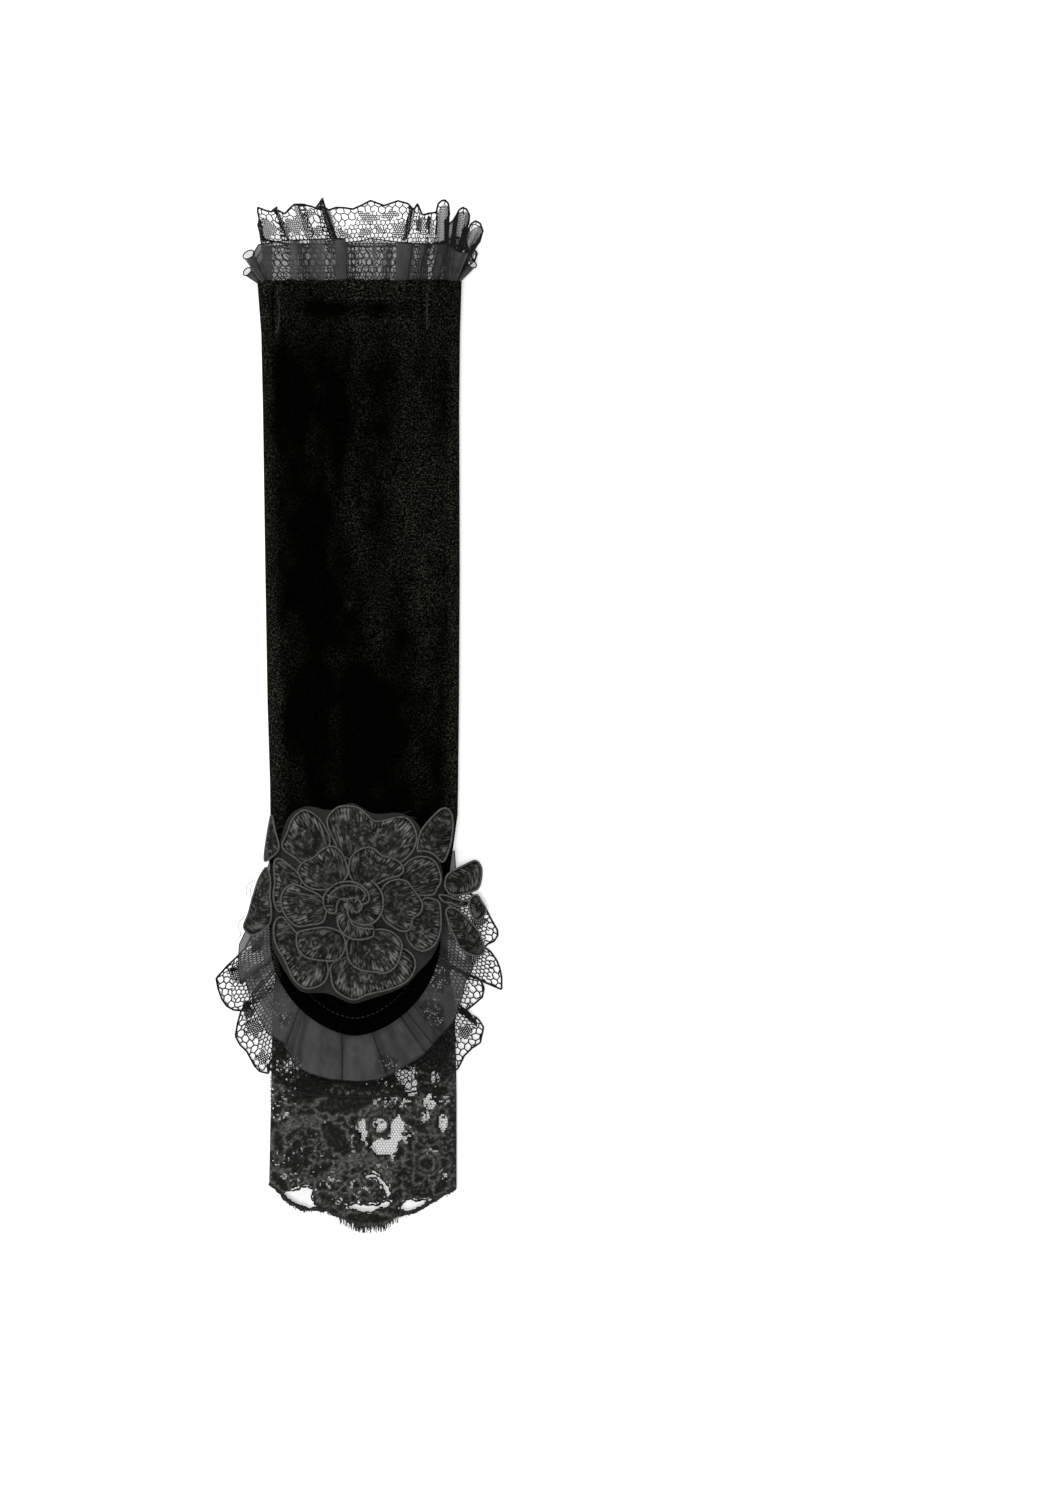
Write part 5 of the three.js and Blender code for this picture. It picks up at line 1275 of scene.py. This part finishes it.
# Worked motifs of the hand lace. long and wide are a leaf's halves, a flower's reach and petals, a ring's
# radius and half its band, or an arc's radius and half its sweep in degrees.
HAND_MOTIFS = (
    ("leaf", -22, -157, 13, 6.5, 20), ("leaf", 2, -153.5, 15, 6, 175), ("leaf", -6, -163.5, 13, 5.2, 8),
    ("leaf", 20.5, -160.5, 7, 3.2, 130), ("flower", 31.5, -158.5, 7.5, 5, 10), ("leaf", 34.5, -171, 6, 3.2, 80),
    ("leaf", 24.5, -172.5, 7, 3, 150), ("flower", -31.5, -151.5, 6, 5, 0), ("leaf", -34, -164, 6.5, 3, 80),
    ("arc", -22, -184.5, 12.5, 75, 95), ("arc", -22, -184.5, 15, 75, 95), ("ring", 8.6, -172.5, 4.3, 1.3, 0),
    ("arc", 8.6, -172.5, 8.2, 55, 130), ("leaf", -9.2, -178, 9.6, 5.4, 128), ("leaf", 4.5, -180, 5.4, 2.4, 85),
    ("leaf", 17.2, -184, 5.5, 2.6, 50), ("leaf", 21.5, -178.5, 5.5, 2.8, 100), ("flower", 28.7, -188.4, 10, 6, 0),
    ("ring", 28.7, -188.4, 4.2, 1.2, 0), ("flower", -26, -186, 9, 6, 30), ("leaf", -33.5, -180, 6, 2.8, 100),
    ("leaf", -16.5, -191.5, 7, 3.4, 30), ("arc", 1, -199, 14, 75, 90), ("arc", 1, -199, 11.6, 75, 90),
    ("flower", -0.8, -197.2, 8.2, 7, 0), ("ring", -0.8, -197.2, 3, 1, 0), ("leaf", -12.5, -203.5, 5.5, 3, 150),
    ("leaf", 15.5, -202.5, 5, 3, 50), ("leaf", 35, -197.5, 5, 3, 60), ("leaf", -33, -196, 6, 3, 130),
    ("leaf", 2, -211.6, 13, 3.2, 0))


def finger_edge(x):
    """y of the scalloped finger edge."""
    return read(FINGER_EDGE, x, "y", "x")


def motif_off(kind, x, y, long, wide, degrees):
    """How far outside a motif's edge places lie, from its middle, and the run of its ribs."""
    u, v = turned(x, y, degrees)
    reach, turn = np.hypot(u, v), np.arctan2(v, u)
    if kind == "leaf":
        share = np.clip(u / long, -1, 1)
        edge = wide * (1 - share ** 2) ** 0.75 * (1 + 0.14 * np.cos(16 * share))
        off = np.hypot(np.maximum(np.abs(v) - edge, 0), np.maximum(np.abs(u) - long, 0))
        inner = np.minimum(edge - np.abs(v), long - np.abs(u))
        return np.where(off > 0, off, -inner), (u + 0.9 * np.abs(v)) / 1.5
    if kind == "flower":
        edge = long * (0.8 + 0.2 * np.cos(wide * turn))
        return reach - edge, wide * turn / 2 + reach / 2.6
    if kind == "ring":
        return np.abs(reach - long) - wide, turn * 4
    sweep = np.maximum(0, np.abs(turn) - math.radians(wide)) * reach
    return np.hypot(np.abs(reach - long), sweep) - 0.7, turn * long / 2.2


def hand_relief(x, y, seed):
    """Height in millimetres and shade of the worked lace."""
    fine = soft_noise(x, y, 0.85, seed)
    finer = 2 * scatter(np.round(x, 2), np.round(y, 2), seed=seed + 1) - 1
    grain = np.clip(0.5 + 0.85 * soft_noise(x, y, 0.8, seed + 3) + 0.14 * finer, 0, 1)
    flecks = smoothstep(grain, 0.7, 1.0)
    cloud = 0.75 + 0.55 * soft_noise(x, y, 6, seed + 2)
    rise = 0.14 * fine + 0.3 * grain
    shade = 0.02 + cloud * (0.22 * grain ** 1.3 + 0.42 * flecks)
    for order, (kind, at_x, at_y, long, wide, degrees) in enumerate(HAND_MOTIFS):
        wobble_x = 0.5 * soft_noise(x, y, 2.4, order + 40)
        wobble_y = 0.5 * soft_noise(x, y, 2.4, order + 80)
        off, ribs = motif_off(kind, x - at_x + wobble_x, y - at_y + wobble_y, long, wide, degrees)
        inside = smoothstep(-off, 0.0, 0.5)
        rib = 0.5 + 0.5 * np.sin(2 * math.pi * ribs)
        knots = np.clip(0.62 + 0.5 * soft_noise(x, y, 0.9, order + 9) + 0.25 * finer, 0, 1.2)
        rise = rise * (1 - inside) + inside * (0.2 + 0.16 * rib + 0.12 * fine)
        dark = 0.008 + 0.1 * rib * grain + 0.1 * flecks
        shade = shade * (1 - inside) + inside * dark
        cord = np.exp(-((off + 0.1) / 0.72) ** 2)
        rise = rise + 0.5 * cord * knots
        shade = shade * (1 - 0.85 * cord) + 0.85 * cord * (0.12 + 0.85 * knots ** 1.6)
    return np.clip(rise, -0.2, 0.9), np.clip(shade, 0.02, 1)


def hand_layer(top, columns, y_rows, depth):
    """Corners, kept faces and shades of one side of the hand's tube."""
    cosine = np.linspace(1, -1, columns) if top else np.cos(np.linspace(0, math.pi, columns))
    y, across = np.meshgrid(y_rows, cosine, indexing="ij")
    x, z = tube_point(HAND, y, np.arccos(across) * (1 if top else -1), depth)
    level = np.abs(across) < 0.995
    x = np.where(level, x + 0.12 * (scatter(x, y, seed=4.0) - 0.5), x)
    y = y + 0.12 * (scatter(y, x, seed=5.0) - 0.5)
    rise, shade = hand_relief(x, y, 6.0 if top else 27.0)
    z = z + np.where(level, rise * (smoothstep(-y, 116, 126) if top else 0.2), 0)
    mid_x, mid_y = ((grid[:-1, :-1] + grid[1:, 1:]) / 2 for grid in (x, y))
    edge = finger_edge(mid_x) + 0.5 * soft_noise(mid_x, mid_y, 0.9, 30)
    keep = (hand_cover(mid_x, mid_y, 3.0, 0.0 if top else PALM_THINNER) == 2) & (mid_y > edge + 0.6)
    return joined(x, y, z), quads(np.arange(x.size).reshape(x.shape))[keep], shade.reshape(-1)


FINE_CELL = 1.15
FINE_THREAD = 0.1
HAND_NET = {"corner": (-36.5, -208.0), "wide": 76.0, "high": 112.0}
NET_UNDER = (0.45, 0.7)


def hand_net(settings):
    """The fine net behind the windows and the thin places of the hand lace, in two layers under the tube's upper face.
    """
    net = Cloth()
    starts, ends = (side + HAND_NET["corner"]
                    for side in honeycomb(HAND_NET["wide"], HAND_NET["high"], FINE_CELL, 40.0))
    x, y = ((starts + ends) / 2).T
    near = np.zeros(len(x), bool)
    for index in range(len(THIN["x"])):
        near |= in_oval(x, y, THIN, index, 0.3) < 1
    for outline in WINDOWS:
        near |= outline_off(x, y, outline) < 1.2
    for outline in HOLES:
        near &= outline_off(x, y, outline) > -0.3
    for level, radius in zip(NET_UNDER, (FINE_THREAD, FINE_THREAD * 0.6)):
        laid = [joined(x, y, hand_surface(x, y, level)) for x, y in (starts[near].T, ends[near].T)]
        net.threads(*laid, radius, 0.6)
    return net.finish("hand_fine_net", thread_material("fine_net_thread", settings.lace_colour, 0.8, 2.5), "lace")


FRINGE = 260
FRINGE_RADIUS = 0.17
FRINGE_END = -217.6


def hand_cords(settings):
    """The knobbly cords at the finger edge and round the holes, and the short fringe."""
    cords = Cloth()
    x = np.arange(-37.6, 40.6, 0.4)
    y = finger_edge(x) + 0.45 * soft_noise(x, 0 * x, 1.3, 5) + 0.9
    for level, top in ((0.35, True), (0.6, False)):
        height = hand_surface(x, y, level, top) + (0.1 if top else 0.3)
        radius = 0.72 + 0.3 * soft_noise(x, y, 1.0, 12)
        cords.cord(joined(x, y, height), radius, 6, shade=0.4 + 0.3 * soft_noise(x, y, 0.9, 2))
    for order, outline in enumerate(HOLES):
        x, y = smooth_line(outline, 0.4, closed=True).T
        x, y = x + 0.5 * soft_noise(x, y, 1.2, order), y + 0.5 * soft_noise(y, x, 1.2, order + 2)
        radius = 0.45 + 0.25 * soft_noise(x, y, 0.8, 4)
        cords.cord(joined(x, y, hand_surface(x, y, 0.3) + 0.15), radius, closed=True,
                   shade=0.35 + 0.3 * soft_noise(x, y, 0.8, 3))
    index = np.arange(FRINGE)
    middle = index < FRINGE * 0.6
    share = scatter(index, seed=3.0)
    x = np.where(middle, -8 + 25 * share, -37 + 77 * share)
    y = finger_edge(x) + 1.2
    reach = (1.2 + 2.6 * scatter(index, seed=4.0)) * np.where(middle, 1.0, 0.55)
    height = hand_surface(x, y, 0.3) + 0.2
    cords.threads(joined(x, y, height), joined(x + 0.9 * (scatter(index, seed=5.0) - 0.5),
                                               np.maximum(y - reach, FRINGE_END), height - 0.6), FRINGE_RADIUS, 0.4)
    return cords.finish("hand_lace_cords", thread_material("hand_cord_thread", settings.lace_colour, 0.8, 2.6),
                        "lace")


def hand_lace(settings):
    """The lace tube round the hand: worked cloth, fine net in its windows, cords and fringe."""
    cloth = Cloth()
    top_rows = np.concatenate([np.arange(HAND_TOP, HAND_SHOWS, -HIDDEN_GRID),
                               np.arange(HAND_SHOWS, HAND_END, -HAND_GRID)])
    palm_rows = np.arange(HAND_TOP, HAND_END, -PALM_GRID)
    for top, columns, rows in ((True, TOP_COLUMNS, top_rows), (False, PALM_COLUMNS, palm_rows)):
        cloth.add(*hand_layer(top, columns, rows, HAND_DEPTH))
    piece = cloth.finish("hand_lace_work", thread_material("hand_lace_thread", settings.lace_colour, 0.85, 7.0),
                         "lace", "lace_hand")
    mend(piece, bpy.ops.mesh.delete_loose)
    net = hand_net(settings)
    hand_cords(settings)


# --- Floor, light and camera ---

PHOTO = {"wide": 1038, "high": 1500, "mm_per_pixel": 0.42, "x_at_left": -150.6, "y_at_top": 300.3}
CAMERA_HEIGHT = 6.0
SENSOR = 36.0
FOCUS_PLANE = 0.012


def studio(settings):
    """A pale floor, soft light from above and a camera that looks straight down."""
    bpy.ops.object.select_all(action="DESELECT")
    bpy.ops.mesh.primitive_plane_add(size=6, location=(0, 0, 0))
    floor = bpy.context.active_object
    floor.name = "floor"
    paint = Look("floor_paint", 0.9, 0.0)
    set_sockets(paint.shader, {"Base Color": (0.92, 0.92, 0.92, 1), "Emission Color": (1, 1, 1, 1),
                               "Emission Strength": settings.floor_glow})
    floor.data.materials.append(paint.material)

    scene = bpy.context.scene
    scene.world = bpy.data.worlds.new("studio")
    scene.world.use_nodes = True
    set_sockets(scene.world.node_tree.nodes["Background"], {"Color": (1, 1, 1, 1), "Strength": settings.fill_light})
    for name, strength, angle, tilt in (("overhead", settings.key_light, 14, (6, -4, 0)),
                                        ("side", settings.side_light, 30, (-38, -34, 0))):
        light = bpy.data.lights.new(name, "SUN")
        light.energy = strength
        light.angle = math.radians(angle)
        lamp = bpy.data.objects.new(name, light)
        lamp.rotation_euler = [math.radians(part) for part in tilt]
        scene.collection.objects.link(lamp)

    data = bpy.data.cameras.new("camera")
    data.sensor_width = SENSOR
    data.lens = SENSOR * (CAMERA_HEIGHT - FOCUS_PLANE) / (PHOTO["high"] * PHOTO["mm_per_pixel"] * MM)
    data.clip_end = 50
    camera = bpy.data.objects.new("camera", data)
    middle_x = PHOTO["x_at_left"] + PHOTO["wide"] / 2 * PHOTO["mm_per_pixel"]
    middle_y = PHOTO["y_at_top"] - PHOTO["high"] / 2 * PHOTO["mm_per_pixel"]
    camera.location = (middle_x * MM, middle_y * MM, CAMERA_HEIGHT)
    scene.collection.objects.link(camera)
    scene.camera = camera
    scene.view_settings.view_transform = "Standard"


# --- Add-on ---

class WarmerSettings(bpy.types.PropertyGroup):
    """Sizes and colours that a user would change."""

    velvet_colour: bpy.props.FloatVectorProperty(
        name="Velvet", description="Colour of the velvet", subtype="COLOR", default=(0.0027, 0.0028, 0.002))
    organza_colour: bpy.props.FloatVectorProperty(
        name="Organza", description="Colour of the organza", subtype="COLOR", default=(0.0305, 0.0306, 0.0322))
    arm_cover: bpy.props.FloatProperty(
        name="Organza cover", description="How much a single layer of organza hides", subtype="FACTOR",
        default=0.33, min=0.0, max=1.0)
    pleat_cover: bpy.props.FloatProperty(
        name="Pleat cover", description="How much the arm's organza hides where it lies in pleats", subtype="FACTOR",
        default=0.86, min=0.0, max=1.0)
    hand_cover: bpy.props.FloatProperty(
        name="Hand organza cover", description="How much one layer of the hand's organza hides", subtype="FACTOR",
        default=0.82, min=0.0, max=1.0)
    net_cover: bpy.props.FloatProperty(
        name="Hand organza over net", description="How much the hand's organza hides where it lies over net",
        subtype="FACTOR", default=0.46, min=0.0, max=1.0)
    net_share: bpy.props.FloatProperty(
        name="Net share", description="Share of the trim lace's area that its threads cover", subtype="FACTOR",
        default=0.6, min=0.3, max=1.0)
    lace_colour: bpy.props.FloatVectorProperty(
        name="Lace", description="Colour of the lace", subtype="COLOR", default=(0.02, 0.0202, 0.0183))
    thread_colour: bpy.props.FloatVectorProperty(
        name="Rose thread", description="Colour of the rose's satin stitch", subtype="COLOR",
        default=(0.028, 0.0282, 0.0262))
    net_colour: bpy.props.FloatVectorProperty(
        name="Rose net", description="Colour of the net under the rose", subtype="COLOR",
        default=(0.013, 0.0131, 0.0122))
    net_cell: bpy.props.FloatProperty(
        name="Net cell", description="Width of one cell of the net", unit="LENGTH", default=0.0021)
    net_thread: bpy.props.FloatProperty(
        name="Net thread", description="Thickness of the net's thread", unit="LENGTH", default=0.00045)
    edge_cord: bpy.props.FloatProperty(
        name="Edge cord", description="Thickness of the lace's edge cord", unit="LENGTH", default=0.0009)
    hem_cord: bpy.props.FloatProperty(
        name="Rolled hem", description="Thickness of the organza's rolled hem", unit="LENGTH", default=0.00055)
    key_light: bpy.props.FloatProperty(
        name="Overhead light", description="Strength from above", subtype="FACTOR", default=1.4, min=0.0, max=10.0)
    side_light: bpy.props.FloatProperty(
        name="Side light", description="Strength from the left", subtype="FACTOR", default=1.5, min=0.0, max=10.0)
    fill_light: bpy.props.FloatProperty(
        name="Fill light", description="Strength from all round", subtype="FACTOR", default=0.45, min=0.0, max=10.0)
    floor_glow: bpy.props.FloatProperty(
        name="Floor glow", description="Light of the floor itself", subtype="FACTOR", default=0.35, min=0.0, max=10.0)


class WARMER_OT_studio(bpy.types.Operator):
    """Make the floor, the lights and the camera"""

    bl_idname = "wrist_warmer.studio"
    bl_label = "Studio"

    def execute(self, context):
        studio(context.scene.wrist_warmer)
        return {"FINISHED"}


class WARMER_OT_velvet(bpy.types.Operator):
    """Make the velvet sleeve with its stitches"""

    bl_idname = "wrist_warmer.velvet"
    bl_label = "Velvet sleeve"

    def execute(self, context):
        velvet_sleeve(context.scene.wrist_warmer)
        velvet_stitches(context.scene.wrist_warmer)
        return {"FINISHED"}


class WARMER_OT_arm_ruffles(bpy.types.Operator):
    """Make the organza and the lace ruffle at the arm"""

    bl_idname = "wrist_warmer.arm_ruffles"
    bl_label = "Arm ruffles"

    def execute(self, context):
        top_organza(context.scene.wrist_warmer)
        top_lace(context.scene.wrist_warmer)
        return {"FINISHED"}


class WARMER_OT_hand_ruffles(bpy.types.Operator):
    """Make the organza and the lace ruffle along the tongue"""

    bl_idname = "wrist_warmer.hand_ruffles"
    bl_label = "Hand ruffles"

    def execute(self, context):
        lower_organza(context.scene.wrist_warmer)
        lower_lace(context.scene.wrist_warmer)
        return {"FINISHED"}


class WARMER_OT_rose(bpy.types.Operator):
    """Make the embroidered rose with its leaves"""

    bl_idname = "wrist_warmer.rose"
    bl_label = "Rose"

    def execute(self, context):
        rose(context.scene.wrist_warmer)
        return {"FINISHED"}


class WARMER_OT_hand_lace(bpy.types.Operator):
    """Make the lace round the hand"""

    bl_idname = "wrist_warmer.hand_lace"
    bl_label = "Hand lace"

    def execute(self, context):
        hand_lace(context.scene.wrist_warmer)
        return {"FINISHED"}


STEPS = (WARMER_OT_studio, WARMER_OT_velvet, WARMER_OT_arm_ruffles, WARMER_OT_hand_ruffles, WARMER_OT_rose,
         WARMER_OT_hand_lace)


class WARMER_PT_panel(bpy.types.Panel):
    """Lists the settings and the steps in the sidebar."""

    bl_idname = "WARMER_PT_panel"
    bl_label = "Wrist warmer"
    bl_space_type = "VIEW_3D"
    bl_region_type = "UI"
    bl_category = "Wrist warmer"

    def draw(self, context):
        for name in WarmerSettings.__annotations__:
            self.layout.prop(context.scene.wrist_warmer, name)
        for made in STEPS:
            self.layout.operator(made.bl_idname)


def register():
    for made in (WarmerSettings, *STEPS, WARMER_PT_panel):
        bpy.utils.register_class(made)
    bpy.types.Scene.wrist_warmer = bpy.props.PointerProperty(type=WarmerSettings)


def unregister():
    del bpy.types.Scene.wrist_warmer
    for made in (WARMER_PT_panel, *reversed(STEPS), WarmerSettings):
        bpy.utils.unregister_class(made)


def main():
    register()
    bpy.ops.wrist_warmer.studio()
    bpy.ops.wrist_warmer.velvet()
    bpy.ops.wrist_warmer.arm_ruffles()
    bpy.ops.wrist_warmer.hand_ruffles()
    bpy.ops.wrist_warmer.rose()
    bpy.ops.wrist_warmer.hand_lace()


if __name__ == "__main__":
    main()
